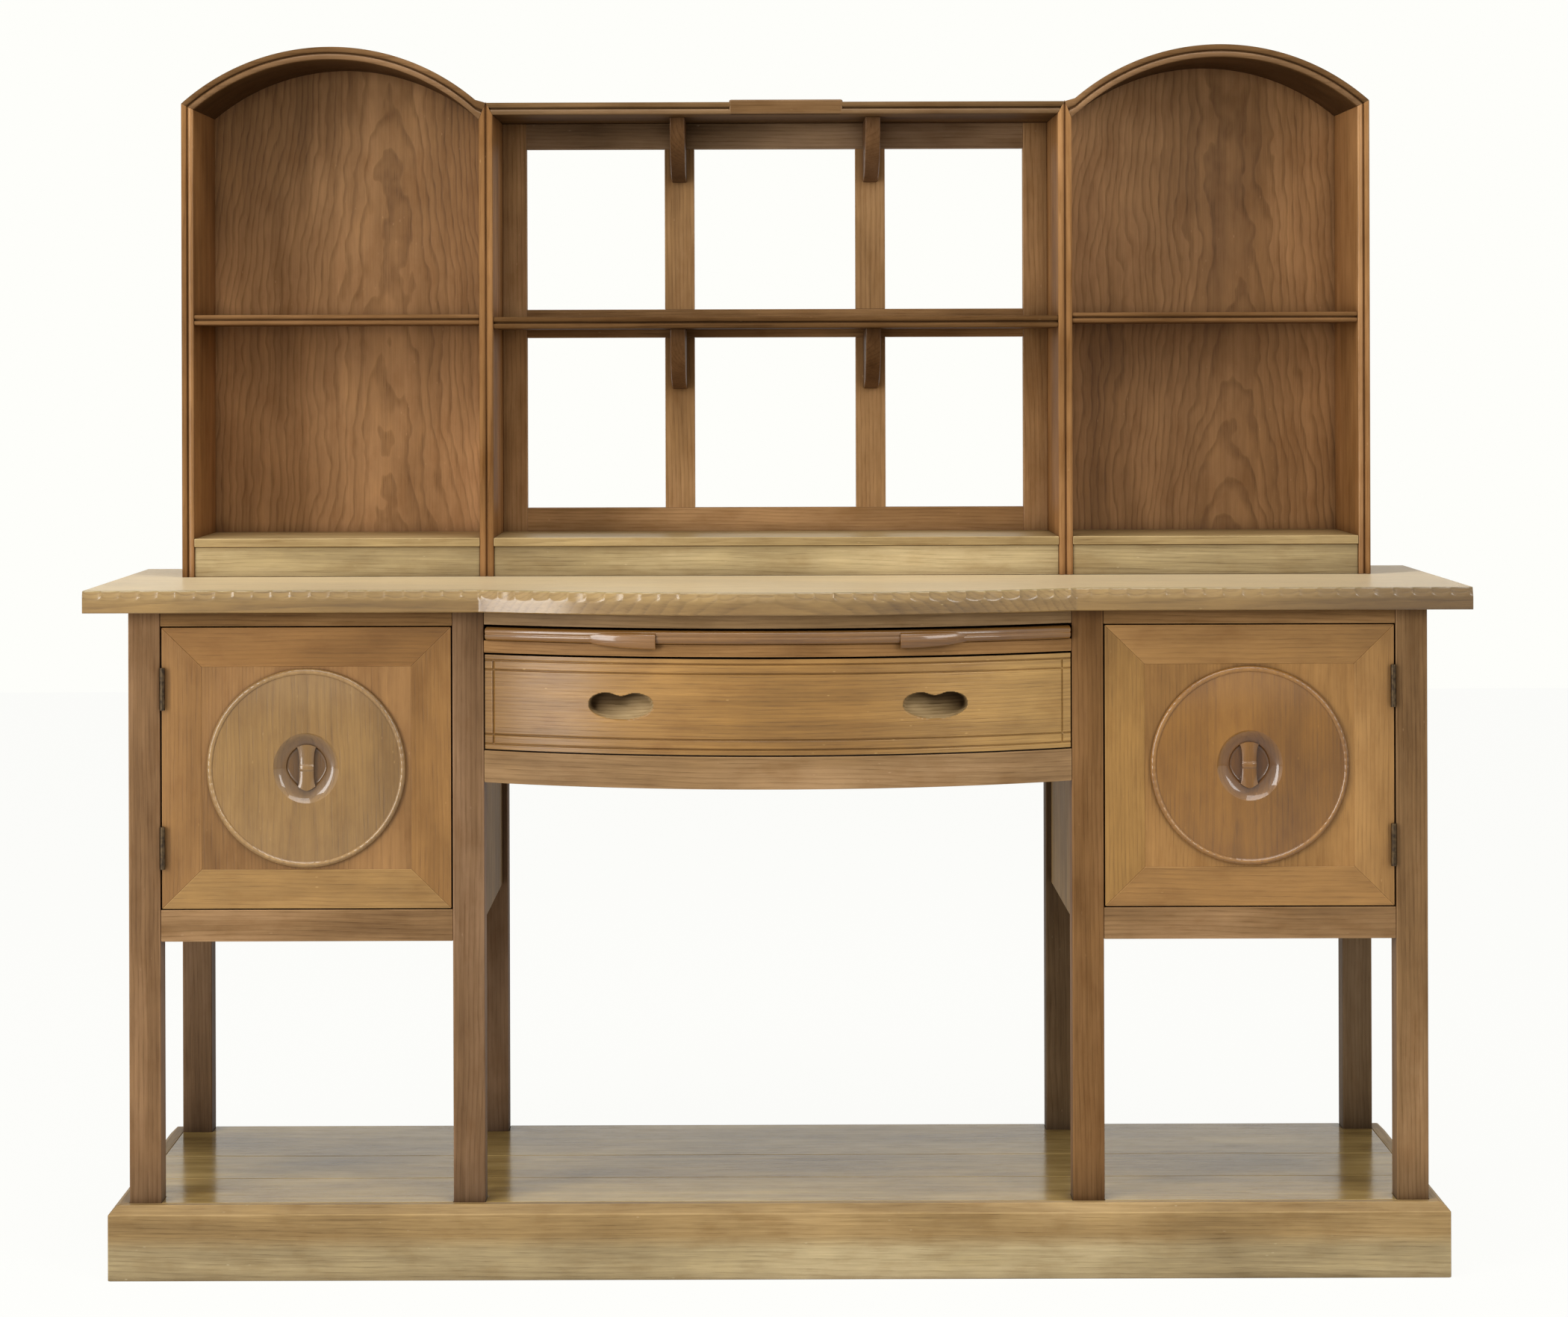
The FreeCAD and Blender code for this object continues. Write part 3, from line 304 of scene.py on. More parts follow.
# What each finish looks like: its colour, how strongly the rings, the broad bands and the
# fine streaks show, its roughness and gloss, the weight and roughness of its wax, and its
# dusty bloom. Rubbed edges may have more wax and be lifted in tone by their own amount.
PLAIN_OAK = dict(rings=0.10, bands=0.5, streaks=0.35, rough=0.42, gloss=0.06, wax=0.05,
                 wax_rough=0.30, bloom=0.0, edge_lift=0.16)
FINISHES = {
    "worktop_oak": dict(PLAIN_OAK, tone=(146, 112, 62), rings=0.12, bands=0.6, rough=0.40,
                        gloss=0.30, wax=0.30, wax_rough=0.16, bloom=0.9, edge_wax=0.9,
                        edge_lift=0.02),
    "leg_oak": dict(PLAIN_OAK, tone=(132, 96, 57), bands=0.6, rough=0.45),
    "carcass_oak": dict(PLAIN_OAK, tone=(136, 101, 61), bands=0.6, rough=0.45),
    "plinth_oak": dict(PLAIN_OAK, tone=(158, 128, 82), rings=0.06, bands=0.35, rough=0.48,
                       gloss=0.15),
    "pot_board_oak": dict(PLAIN_OAK, tone=(172, 137, 84), rings=0.12, bands=0.6, streaks=0.3,
                          rough=0.12, gloss=0.08, wax=0.0, wax_rough=0.07),
    "inner_oak": dict(PLAIN_OAK, tone=(140, 114, 80), rings=0.22, bands=0.8, streaks=0.4,
                      rough=0.60, gloss=0.05, wax=0.0),
    "door_oak": dict(PLAIN_OAK, tone=(149, 109, 60), rings=0.07, bands=0.30, streaks=0.24,
                     rough=0.40, gloss=0.25, wax=0.12, wax_rough=0.22),
    "roundel_oak": dict(PLAIN_OAK, tone=(154, 116, 62), rings=0.07, bands=0.30, streaks=0.24,
                        rough=0.36, gloss=0.35, wax=1.0, wax_rough=0.06),
    "drawer_oak": dict(PLAIN_OAK, tone=(158, 117, 64), rough=0.36, gloss=0.35, wax=0.25,
                       wax_rough=0.20),
    "slide_oak": dict(PLAIN_OAK, tone=(136, 98, 56), rough=0.30, gloss=0.40, wax=0.80,
                      wax_rough=0.07),
    "rack_oak": dict(PLAIN_OAK, tone=(152, 110, 67), gloss=0.02, wax=0.0, wax_rough=0.16,
                     edge_wax=0.35),
    "rack_panel_oak": dict(PLAIN_OAK, tone=(165, 122, 77), rings=0.20, streaks=0.25,
                           rough=0.46, gloss=0.20),
    "ledge_oak": dict(PLAIN_OAK, tone=(164, 138, 92), rings=0.07, bands=0.4, gloss=0.20,
                      wax=0.15, wax_rough=0.25),
}

# The noises in the wood: how closely each is pressed together across the board, through
# it and along its grain, its detail and its roughness
WANDER = ((5.0, 5.0, 2.0), 1.0)
RUFFLE = ((24.0, 24.0, 12.0), 2.0)
BROAD = ((6.0, 6.0, 2.4), 2.0)
BAND = ((42.0, 42.0, 2.2), 2.0)
STREAK = ((230.0, 230.0, 9.0), 2.0, 0.6)
PORE = ((560.0, 560.0, 26.0), 1.0)
MOTTLE = ((32.0, 32.0, 14.0), 5.0, 0.6)
CROWD = ((9.0, 9.0, 9.0), 2.0)
NICK_SPREAD = (90.0, 90.0, 38.0)
BROAD_WEIGHT = 1.1
PORE_WEIGHT = 0.10
# Occlusion darkens corners and creases: dirt, and painted shade where shade falls
DIRT_AND_SHADE_REACH = 0.025
DIRT_AND_SHADE_PROFILE = ((0.15, (0.36, 0.31, 0.27, 1.0)), (0.85, grey(1.0)))
DARK_SHARES = (0.34, 0.30, 0.28)
LIGHT_SHARES = (1.75, 1.85, 2.1)
NICK_SHARES = (1.7, 1.9, 2.4)
NICK_PROFILE = ((0.05, grey(1.0)), (0.10, grey(0.0)))
RING_PROFILE = ((0.0, grey(0.0)), (0.55, grey(0.15)), (0.86, grey(1.0)), (0.95, grey(0.7)),
                (1.0, grey(0.0)))
PORE_PROFILE = ((0.52, grey(0.0)), (0.68, grey(1.0)))
MEAN_RING = 0.36
PATINA = ((0.25, (0.74, 0.69, 0.62, 1.0)), (0.5, grey(0.90)), (0.70, (1.0, 1.0, 0.98, 1.0)))
PATINA_MEAN = 0.90
CROWD_PROFILE = ((0.50, grey(0.0)), (0.64, grey(0.36)))
# Faces behind the rack's front are darker: painted shade
INNER_PAINTED_SHADE = (0.92, 0.88, 0.82)
# The arches' undersides are much darker: painted shade under the arch
SOFFIT_PAINTED_SHADE = (0.46, 0.42, 0.38)
# The roundel's hollow darkens with depth: painted shade
HOLLOW_PAINTED_SHADE = (0.44, 0.38, 0.33)
# The drawer's recesses darken with depth: painted shade
PULL_PAINTED_SHADE = (0.22, 0.19, 0.16)
DRAWER_FADE = (0.71, 0.63, 0.52)
APRON_FADE = (0.72, 0.70, 0.66)
# The drawer's left end is darker and yellower: painted shade to offset the left lamp's reflection
DRAWER_END_PAINTED_SHADE = (0.68, 0.63, 0.44)
# Below its top the worktop is darker, so the top keeps a painted sheen; the lower part of its edge is
# darker still, a painted shade
PAINTED_TOP_SHEEN_FADE = (0.92, 0.80, 0.70)
EDGE_FOOT_PAINTED_SHADE = (0.78, 0.72, 0.63)
END_FADE = (0.52, 0.48, 0.42)
PLINTH_FADE = (0.84, 0.71, 0.56)
LEG_FOOT_FADE = (0.66, 0.68, 0.72)
BLOOM_TINT = (1.0, 0.80, 0.52, 1.0)
SHADE_DEPTH = 0.012
FOOT_DARKENING_HEIGHT = 0.07
AXES = {"x": 0, "y": 1, "z": 2}

# How boards differ from their finish, channel by channel. A name that lacks its side is
# for both.
TINTS = {
    # The worktop is paler and whiter all over, a painted sheen for its top; a fade darkens its edge
    # again
    "worktop_slab": (1.04, 1.28, 1.49),
    "apron_board": (1.62, 1.85, 2.40),
    "divider_board": (1.31, 1.28, 1.26),
    "frieze_board": (1.20, 1.38, 1.70),
    "drawer_face": (1.36, 1.50, 1.55),
    "slide_shelf": (0.81, 0.71, 0.38),
    "slide_grip": (0.86, 0.74, 0.40),
    "leg_front_outer_left": (0.98, 1.06, 1.36),
    "leg_front_inner_left": (0.84, 0.92, 1.24),
    "leg_front_inner_right": (0.80, 0.77, 0.75),
    "leg_front_outer_right": (1.02, 1.12, 1.34),
    # The back legs are darker, a painted shade under and behind the cupboards, and bluer
    "leg_back_outer_left": (0.67, 0.76, 1.08),
    "leg_back_inner_left": (0.67, 0.76, 1.08),
    "leg_back_outer_right": (0.55, 0.66, 0.90),
    "leg_back_inner_right": (0.55, 0.66, 0.90),
    "cupboard_low_rails": (1.12, 1.20, 1.45),
    "cupboard_inner_side": (1.15, 1.30, 1.30),
    "door_foot_left": (1.22, 1.34, 1.48),
    # The left door's head rail is darker: painted shade under the worktop's overhang
    "door_head_left": (0.76, 0.70, 0.63),
    "door_left_left": (0.88, 0.85, 0.87),
    "door_right_left": (0.92, 0.88, 0.84),
    "door_panel_left": (0.77, 0.74, 0.77),
    "roundel_left": (0.91, 0.92, 0.98),
    "door_left_right": (1.18, 1.22, 1.12),
    "door_foot_right": (1.15, 1.16, 1.20),
    "door_panel_right": (0.95, 0.92, 0.86),
    "roundel_right": (0.80, 0.64, 0.34),
    "pull": (1.10, 1.15, 1.10),
    "plinth_front": (1.27, 1.54, 2.05),
    "plinth": (0.95, 1.10, 1.30),
    "rack_fascias": (1.25, 1.37, 1.60),
    "pot_board_planks": (0.90, 0.99, 0.94),
    "rack_cornice": (0.42, 0.46, 0.50),
    "rack_tablet": (0.42, 0.44, 0.46),
    "rack_middle_shelf": (0.42, 0.42, 0.42),
    "rack_shelf": (0.60, 0.60, 0.62),
    "rack_rim": (0.50, 0.52, 0.56),
    "rack_rail_top": (0.95, 1.18, 1.70),
}
FRAME_TINT = (1.26, 1.42, 1.66)
# The brackets are darker: painted shade under the top board and the middle shelf
BRACKET_PAINTED_SHADE = (0.46, 0.46, 0.52)

# Where the tree's heart lies from the board's middle, across and behind, by the cut
HEARTS = {"flat": (0.01, 0.06), "rift": (0.13, 0.09)}


def oak(name, slot, low, high, axes, cut, ring=0.0045, wild=0.020, ripple=0.004, taper=0.010,
        worn=False, offset=None, behind=None, fades=(), bent=False, tint=(1.0, 1.0, 1.0)):
    """Oak for a board between two corners. The axes name the directions across the
    board, through it and along its grain; its rings are those of a tapering tree whose
    heart lies off the board. Worn oak is the paler oak of the rubbed edges, the grain of
    a bent board follows the bow, and each fade is (axis, start, finish, colour)."""
    finish = FINISHES[slot]
    chance = random.Random(name)
    graph = Graph(bpy.data.materials.new(name + "_worn" if worn else name))
    across, through, along = (AXES[letter] for letter in axes)
    heart_across, heart_behind = HEARTS[cut]
    if behind is not None:
        heart_behind = behind
    if offset is None:
        offset = chance.choice((-1, 1)) * heart_across * chance.uniform(0.7, 1.3)
    middle = (low + high) / 2
    if bent:
        middle.y = low.y
    heart = (
        -middle[across] + offset,
        -middle[through] - heart_behind * chance.uniform(0.8, 1.2),
        chance.uniform(-9, 9),
    )
    place = graph.add("TexCoord", {}).outputs["Object"]
    parts = list(graph.add("SeparateXYZ", {0: place}).outputs)
    if bent:
        spoke = graph.math("SUBTRACT", parts[1], bow_centre)
        spoke = graph.add("CombineXYZ", {0: parts[0], 1: spoke}).outputs[0]
        reach = graph.add("VectorMath", {0: spoke}, operation="LENGTH").outputs["Value"]
        parts[1] = graph.math("SUBTRACT", bow_centre, reach)
    turned = graph.add("CombineXYZ", {0: parts[across], 1: parts[through], 2: parts[along]})
    local = graph.add("VectorMath", {0: turned.outputs[0], 1: heart}, operation="ADD").outputs[0]

    # The rings, by how far each place is from the tree's heart
    flat = graph.spread(local, (1.0, 1.0, 0.0))
    radius = graph.add("VectorMath", {0: flat}, operation="LENGTH").outputs["Value"]
    radius = graph.total(
        radius,
        (graph.add("SeparateXYZ", {0: local}).outputs[2], taper),
        (graph.noise(local, *WANDER), wild),
        (graph.noise(local, *RUFFLE), ripple),
    )
    phase = graph.math("FRACT", graph.math("DIVIDE", radius, ring))
    rings = graph.ramp(phase, RING_PROFILE)
    broad = graph.noise(local, *BROAD)
    band = graph.noise(local, *BAND)
    streak = graph.noise(local, *STREAK)
    pores = graph.ramp(graph.noise(local, *PORE), PORE_PROFILE)
    pores = graph.math("MULTIPLY", pores, graph.total(0.4, (rings, 0.6)))
    rings = graph.math("MULTIPLY", rings, graph.math("ADD", band, 0.5))

    # How light each place is, about a middle of a half
    level = 0.53 + finish["rings"] * MEAN_RING
    level -= (BROAD_WEIGHT + finish["bands"] + finish["streaks"]) / 2
    if worn:
        level += finish["edge_lift"]
    level = graph.total(
        level,
        (broad, BROAD_WEIGHT),
        (band, finish["bands"]),
        (streak, finish["streaks"]),
        (rings, -finish["rings"]),
        (pores, -PORE_WEIGHT),
    )
    tone = [part * share / PATINA_MEAN for part, share in zip(linear(finish["tone"]), tint)]
    dark, light, pale = (
        [*(part * share for part, share in zip(tone, shares)), 1.0]
        for shares in (DARK_SHARES, LIGHT_SHARES, NICK_SHARES)
    )
    colour = graph.ramp(level, ((0.05, dark), (0.5, (*tone, 1.0)), (0.95, light)))

    # Dirt and painted shade in the corners, darkened by occlusion, mottled patina, fades (some of them
    # painted shade and sheen) and paler nicks
    shade = graph.add("AmbientOcclusion", {"Distance": DIRT_AND_SHADE_REACH}, samples=6).outputs["AO"]
    colour = graph.tint(colour, graph.ramp(shade, DIRT_AND_SHADE_PROFILE))
    colour = graph.tint(colour, graph.ramp(graph.noise(local, *MOTTLE), PATINA))
    for axis, start, end, fade in fades:
        reach = graph.math("SUBTRACT", parts[AXES[axis]], start)
        reach = graph.math("DIVIDE", reach, end - start)
        colour = graph.tint(colour, graph.ramp(reach, ((0.0, grey(1.0)), (1.0, (*fade, 1.0)))))
    nick = graph.add("TexVoronoi", {"Vector": graph.spread(local, NICK_SPREAD), "Scale": 1.0})
    nick = graph.ramp(nick.outputs["Distance"], NICK_PROFILE)
    crowd = graph.ramp(graph.noise(place, *CROWD), CROWD_PROFILE)
    pale = [min(1.0, part) for part in pale]
    colour = graph.blend(graph.math("MULTIPLY", nick, crowd), colour, pale)

    rough = graph.total(finish["rough"] - 0.03, (pores, 0.12), (broad, 0.08))
    height = graph.total(0.0, (pores, -0.6), (rings, -0.3), (streak, 0.5))
    bump = graph.add("Bump", {"Height": height, "Strength": 0.4, "Distance": 0.0006})
    shader = graph.add("BsdfPrincipled", {
        "Base Color": colour,
        "Roughness": rough,
        "Normal": bump.outputs[0],
        "Specular IOR Level": finish["gloss"],
        "Coat Weight": finish.get("edge_wax", finish["wax"]) if worn else finish["wax"],
        "Coat Roughness": finish["wax_rough"],
        "Sheen Weight": finish["bloom"],
        "Sheen Roughness": 0.3,
        "Sheen Tint": BLOOM_TINT,
    })
    graph.add("OutputMaterial", {"Surface": shader.outputs[0]})
    return graph.owner


def aged_brass():
    """Dark, dull brass with worn high spots."""
    graph = Graph(bpy.data.materials.new("aged_brass"))
    place = graph.add("TexCoord", {}).outputs["Object"]
    mottle = graph.noise(place, (260.0, 260.0, 180.0), detail=3.0)
    colour = graph.ramp(mottle, ((0.35, linear((58, 47, 36))), (0.70, linear((98, 80, 56)))))
    rough = graph.total(0.35, (mottle, 0.2))
    bump = graph.add("Bump", {"Height": mottle, "Strength": 0.3, "Distance": 0.0003})
    shader = graph.add("BsdfPrincipled", {
        "Base Color": colour, "Roughness": rough, "Normal": bump.outputs[0], "Metallic": 0.85,
    })
    graph.add("OutputMaterial", {"Surface": shader.outputs[0]})
    return graph.owner


brass = aged_brass()


# Shared ways of making and finishing a piece

def new_object(name, data):
    item = bpy.data.objects.new(name, data)
    bpy.context.scene.collection.objects.link(item)
    return item


def round_edges(piece, width):
    """Soften every sharp edge, with the flat faces kept flat and the edge rubbed pale."""
    edge = piece.modifiers.new("Arris", "BEVEL")
    edge.width = width
    edge.segments = 2
    edge.limit_method = "ANGLE"
    edge.angle_limit = SHARP_ANGLE
    edge.harden_normals = True
    edge.use_clamp_overlap = True
    edge.material = 1


def dress(piece, *materials):
    """Give the object, and not its mesh, the materials."""
    while len(piece.material_slots) < len(materials):
        piece.data.materials.append(None)
    for slot, material in zip(piece.material_slots, materials):
        slot.link = "OBJECT"
        slot.material = material


def dress_in_oak(piece, slot, low, high, axes, cut, **grain):
    """The board's own oak, and the same oak rubbed pale for its edges."""
    name = piece.name + "_wood"
    both_sides = TINTS.get(piece.name.rsplit("_", 1)[0], (1.0, 1.0, 1.0))
    grain.setdefault("tint", TINTS.get(piece.name, both_sides))
    woods = [oak(name, slot, low, high, axes, cut, worn=worn, **grain) for worn in (False, True)]
    dress(piece, *woods)


def keep(node, axes, cut, width=ARRIS, **grain):
    """Dress a node of the frame where it stands."""
    piece = frame["nodes"][node]
    weld = piece.modifiers.new("Weld", "WELD")
    weld.merge_threshold = 0.00001
    flats = piece.modifiers.new("Flats", "DECIMATE")
    flats.decimate_type = "DISSOLVE"
    flats.angle_limit = math.radians(1)
    round_edges(piece, width)
    dress_in_oak(piece, slot_of[node], *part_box(node), axes, cut, **grain)


def add_piece(name, nodes, skin, axes, cut, width=ARRIS, **grain):
    """A new piece, of a skin of vertices and faces, that stands for nodes of the frame
    and rides on their body."""
    vertices, faces = skin
    mesh = bpy.data.meshes.new(name)
    mesh.from_pydata(vertices, [], faces)
    shape = bmesh.new()
    shape.from_mesh(mesh)
    bmesh.ops.recalc_face_normals(shape, faces=shape.faces)
    for edge in shape.edges:
        if len(edge.link_faces) == 2:
            edge.smooth = edge.calc_face_angle() < SHARP_ANGLE
    for face in shape.faces:
        face.smooth = True
    shape.to_mesh(mesh)
    shape.free()
    piece = new_object(name, mesh)
    low = Vector([min(corner[axis] for corner in vertices) for axis in range(3)])
    high = Vector([max(corner[axis] for corner in vertices) for axis in range(3)])
    slot = slot_of[nodes[0]]
    dress_in_oak(piece, slot, low, high, axes, cut, **grain)
    if width:
        round_edges(piece, width)
    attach(piece, frame["nodes"][nodes[0]]["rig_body"])
    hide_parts(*nodes)
    return piece


def rub(piece, count):
    """Give the crest of the first reed of a piece of reeded sections the paler oak."""
    for face in piece.data.polygons[:-2]:
        if 3 <= face.index % count < 1 + REED_STEPS:
            face.material_index = 1


def joined(first, second, count):
    """The faces between two rings, by the number of each ring's first point."""
    pairs = [(step, (step + 1) % count) for step in range(count)]
    return [(first + a, first + b, second + b, second + a) for a, b in pairs]


def loft(rings):
    """The vertices and faces of a closed skin over rings of as many points each."""
    count = len(rings[0])
    vertices = [tuple(point) for ring in rings for point in ring]
    faces = []
    for index in range(len(rings) - 1):
        faces += joined(index * count, (index + 1) * count, count)
    faces.append(tuple(reversed(range(count))))
    last = (len(rings) - 1) * count
    faces.append(tuple(range(last, last + count)))
    return vertices, faces


def prism(outline, axis, low, high):
    """A skin over an outline taken along an axis. The ends are places on that axis, or
    functions that give each point's own."""
    def spot(point, end):
        place = list(point)
        place.insert(AXES[axis], end(point) if callable(end) else end)
        return place

    return loft([[spot(point, end) for point in outline] for end in (low, high)])


def slab(low, high):
    """A square-edged board between two corners."""
    outline = [(low[0], low[1]), (high[0], low[1]), (high[0], high[1]), (low[0], high[1])]
    return prism(outline, "z", low[2], high[2])


def bow_at(along, radius=bow_radius):
    """The Y of an arc about the bow's centre."""
    return bow_centre - math.sqrt(radius ** 2 - along ** 2)


def evenly(first, last, step):
    """Places from first to last, no further apart than the step."""
    count = max(1, math.ceil(abs(last - first) / step))
    return [first + (last - first) * number / count for number in range(count + 1)]


def reeded(low, high, front, rear):
    """Outline of a board whose front edge has two round reeds: (across, depth)."""
    middle = (low + high) / 2
    foot = front + REED_RISE
    half_groove = REED_GROOVE / 2
    points = [(high, rear), (low, rear)]
    for start, finish in ((low, middle - half_groove), (middle + half_groove, high)):
        centre = (start + finish) / 2
        reach = (finish - start) / 2
        for step in range(REED_STEPS + 1):
            turn = math.pi * step / REED_STEPS
            points.append((centre - reach * math.cos(turn), foot - REED_RISE * math.sin(turn)))
        if finish < high:
            points.append((middle, foot + REED_SINK))
    return points


# Camera, light and stage

def place_camera():
    """The photograph's own view: level, straight on, shifted to its frame."""
    data = bpy.data.cameras.new("camera")
    data.sensor_width = SENSOR_WIDTH
    data.lens = SENSOR_WIDTH * FOCAL_PIXELS / PHOTO_WIDTH
    data.shift_x = (PHOTO_WIDTH / 2 - EYE_COLUMN) / PHOTO_WIDTH
    data.shift_y = (EYE_ROW - PHOTO_HEIGHT / 2) / PHOTO_WIDTH
    data.clip_end = 100
    camera = new_object("camera", data)
    camera.location = EYE_PLACE
    camera.rotation_euler = (math.radians(90), EYE_ROLL, 0)
    bpy.context.scene.camera = camera


def soft_box(name, place, aim, width, height, power):
    """A large soft lamp that looks at a point."""
    data = bpy.data.lights.new(name, "AREA")
    data.shape = "RECTANGLE"
    data.size = width
    data.size_y = height
    data.energy = power
    lamp = new_object(name, data)
    lamp.location = place
    direction = Vector(aim) - Vector(place)
    lamp.rotation_euler = direction.to_track_quat("-Z", "Y").to_euler()


def light_stage():
    """White surroundings, two soft boxes in front and one above, and a pale floor."""
    sky = Graph(bpy.data.worlds.new("studio"))
    path = sky.add("LightPath", {}).outputs
    seen = sky.add("Background", {"Color": linear((254, 254, 250)), "Strength": 1.0})
    lit = sky.add("Background", {"Color": grey(1.0), "Strength": WORLD_STRENGTH})
    either = sky.math("MAXIMUM", path["Is Camera Ray"], path["Is Glossy Ray"])
    mix = sky.add("MixShader", {0: either, 1: lit.outputs[0], 2: seen.outputs[0]})
    sky.add("OutputWorld", {"Surface": mix.outputs[0]})
    bpy.context.scene.world = sky.owner
    for lamp in LAMPS:
        soft_box(*lamp)

    graph = Graph(bpy.data.materials.new("pale_floor"))
    diffuse = graph.add("BsdfDiffuse", {"Color": grey(0.82)})
    glow = graph.add("Emission", {"Color": linear((254, 254, 251)), "Strength": 1.02})
    camera_ray = graph.add("LightPath", {}).outputs["Is Camera Ray"]
    share = graph.math("MULTIPLY", camera_ray, 0.94)
    mix = graph.add("MixShader", {0: share, 1: diffuse.outputs[0], 2: glow.outputs[0]})
    graph.add("OutputMaterial", {"Surface": mix.outputs[0]})
    mesh = bpy.data.meshes.new("floor")
    corners = [(x * FLOOR_HALF, y * FLOOR_HALF, 0) for x, y in ((-1, -1), (1, -1), (1, 1), (-1, 1))]
    mesh.from_pydata(corners, [], [(0, 1, 2, 3)])
    mesh.materials.append(graph.owner)
    floor = new_object("floor", mesh)


# Pieces whose CAD shape is right

def kept_pieces():
    shelf = high_corner("pot_board_planks").z
    # The legs darken from a little above the pot board down to the floor
    foot_darkening = [("z", shelf + FOOT_DARKENING_HEIGHT, shelf, LEG_FOOT_FADE)]
    for row in ("front", "back"):
        for place in ("outer", "inner"):
            for _, word in SIDES:
                keep(f"leg_{row}_{place}_{word}", "xyz", "rift", width=LEG_ARRIS, fades=foot_darkening)
    height = high_corner("plinth_front").z
    fade = [("z", height * 0.40, height * 0.60, PLINTH_FADE)]
    keep("plinth_front", "zyx", "rift", fades=fade)
    for _, word in SIDES:
        keep(f"plinth_{word}", "zxy", "rift", fades=fade)
        keep(f"cupboard_outer_side_{word}", "yxz", "flat")
        keep(f"cupboard_inner_side_{word}", "yxz", "flat")
        keep(f"door_panel_{word}", "xyz", "rift", width=FINE_ARRIS)
        dress(frame["nodes"][f"hinge_leaves_{word}"], brass)
    dress(frame["nodes"]["hinge_fixed_leaves"], brass)
    keep("pot_board_planks", "yzx", "flat")
    keep("pot_board_bearers", "zxy", "rift")
    keep("pot_board_back_rails", "zyx", "rift")
    keep("cupboard_top_rails", "zyx", "rift")
    keep("cupboard_low_rails", "zyx", "rift")
    keep("cupboard_floors", "yzx", "rift")
    keep("cupboard_backs", "xyz", "flat")
    keep("door_stops", "zyx", "rift", width=FINE_ARRIS)
    keep("centre_back", "zyx", "flat")
    keep("drawer_runners", "zxy", "rift")
    keep("slide_runners", "zxy", "rift")
    keep("drawer_sides", "zxy", "rift")
    keep("drawer_back", "zyx", "rift")
    keep("drawer_bottom", "yzx", "flat")
    keep("rack_tablet", "zyx", "rift", width=TABLET_ARRIS)
    keep("rack_floors", "yzx", "rift")
    keep("rack_fascias", "zyx", "rift")


# Worktop

def gouge(travelled, drop):
    """How far a gouge mark cuts into the edge at a place along it and below the top. No
    two marks are quite alike."""
    chance = random.Random(int(travelled / GOUGE_PITCH))
    deepest = GOUGE_DROP * chance.uniform(0.86, 1.0)
    slope = GOUGE_SLOPE * chance.uniform(0.8, 1.1)
    turn = 2 * (travelled / GOUGE_PITCH % 1) - 1
    reach = GOUGE_RIDGE_SHARE + (1 - GOUGE_RIDGE_SHARE) * math.sqrt(1 - turn * turn)
    return max(0.0, deepest * reach - drop) * slope


def worktop():
    """A bow-fronted slab whose upper front arris is cut with a row of gouge marks."""
    low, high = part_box("worktop")
    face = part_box("plinth_front")[0].y - TOP_STEP
    bow = face - low.y
    half_bow = knee_half + TOP_STEP
    radius = (half_bow ** 2 + bow ** 2) / (2 * bow)
    centre = low.y + radius
    thick = high.z - low.z
    drops = evenly(0.0, GOUGE_DROP + FACE_STEP, FACE_STEP) + [thick - TOP_ROUND]
    rings = []
    travelled = 0.0
    previous = None
    for along in evenly(low.x, high.x, STATION_STEP):
        front = face
        lean = 1.0
        if abs(along) < half_bow:
            front = centre - math.sqrt(radius ** 2 - along ** 2)
            lean = radius / math.sqrt(radius ** 2 - along ** 2)
        if previous is not None:
            travelled += math.hypot(along - previous[0], front - previous[1])
        previous = (along, front)
        ring = [(along, high.y, low.z), (along, high.y, high.z)]
        for reach, drop in TOP_INSETS:
            ring.append((along, front + (gouge(travelled, drop) + reach) * lean, high.z - drop))
        for drop in drops[1:]:
            ring.append((along, front + gouge(travelled, drop) * lean, high.z - drop))
        ring.append((along, front + TOP_ROUND * lean, low.z))
        rings.append(ring)
    # The top keeps a painted sheen, the lower edge gets a painted shade, and the right end fades darker
    fades_with_painted_light = [
        ("z", high.z - TOP_ROUND / 2, high.z - TOP_ROUND * 2, PAINTED_TOP_SHEEN_FADE),
        ("z", high.z - GOUGE_DROP / 2, high.z - GOUGE_DROP * 1.4, EDGE_FOOT_PAINTED_SHADE),
        ("x", high.x * 0.4, high.x * 0.95, END_FADE),
    ]
    piece = add_piece("worktop_slab", ["worktop"], loft(rings), "yzx", "flat", width=0,
                      taper=0.006, fades=fades_with_painted_light)
    for side_face in piece.data.polygons:
        if side_face.normal.y < FACING_FRONT:
            side_face.material_index = 1


# Bowed centre

def bowed_board(name, node, thickness=None, fades=()):
    """A flat board whose front follows the bow, and whose back is straight or bent."""
    low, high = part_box(node)
    places = evenly(low.x, high.x, ARC_STEP)
    front = [(along, bow_at(along)) for along in places]
    inner = [(high.x, leg_rear), (low.x, leg_rear)]
    if thickness:
        inner = [(along, bow_at(along, bow_radius - thickness)) for along in reversed(places)]
    skin = prism(front + inner, "z", low.z, high.z)
    add_piece(name, [node], skin, "zyx", "rift", bent=True, fades=fades)


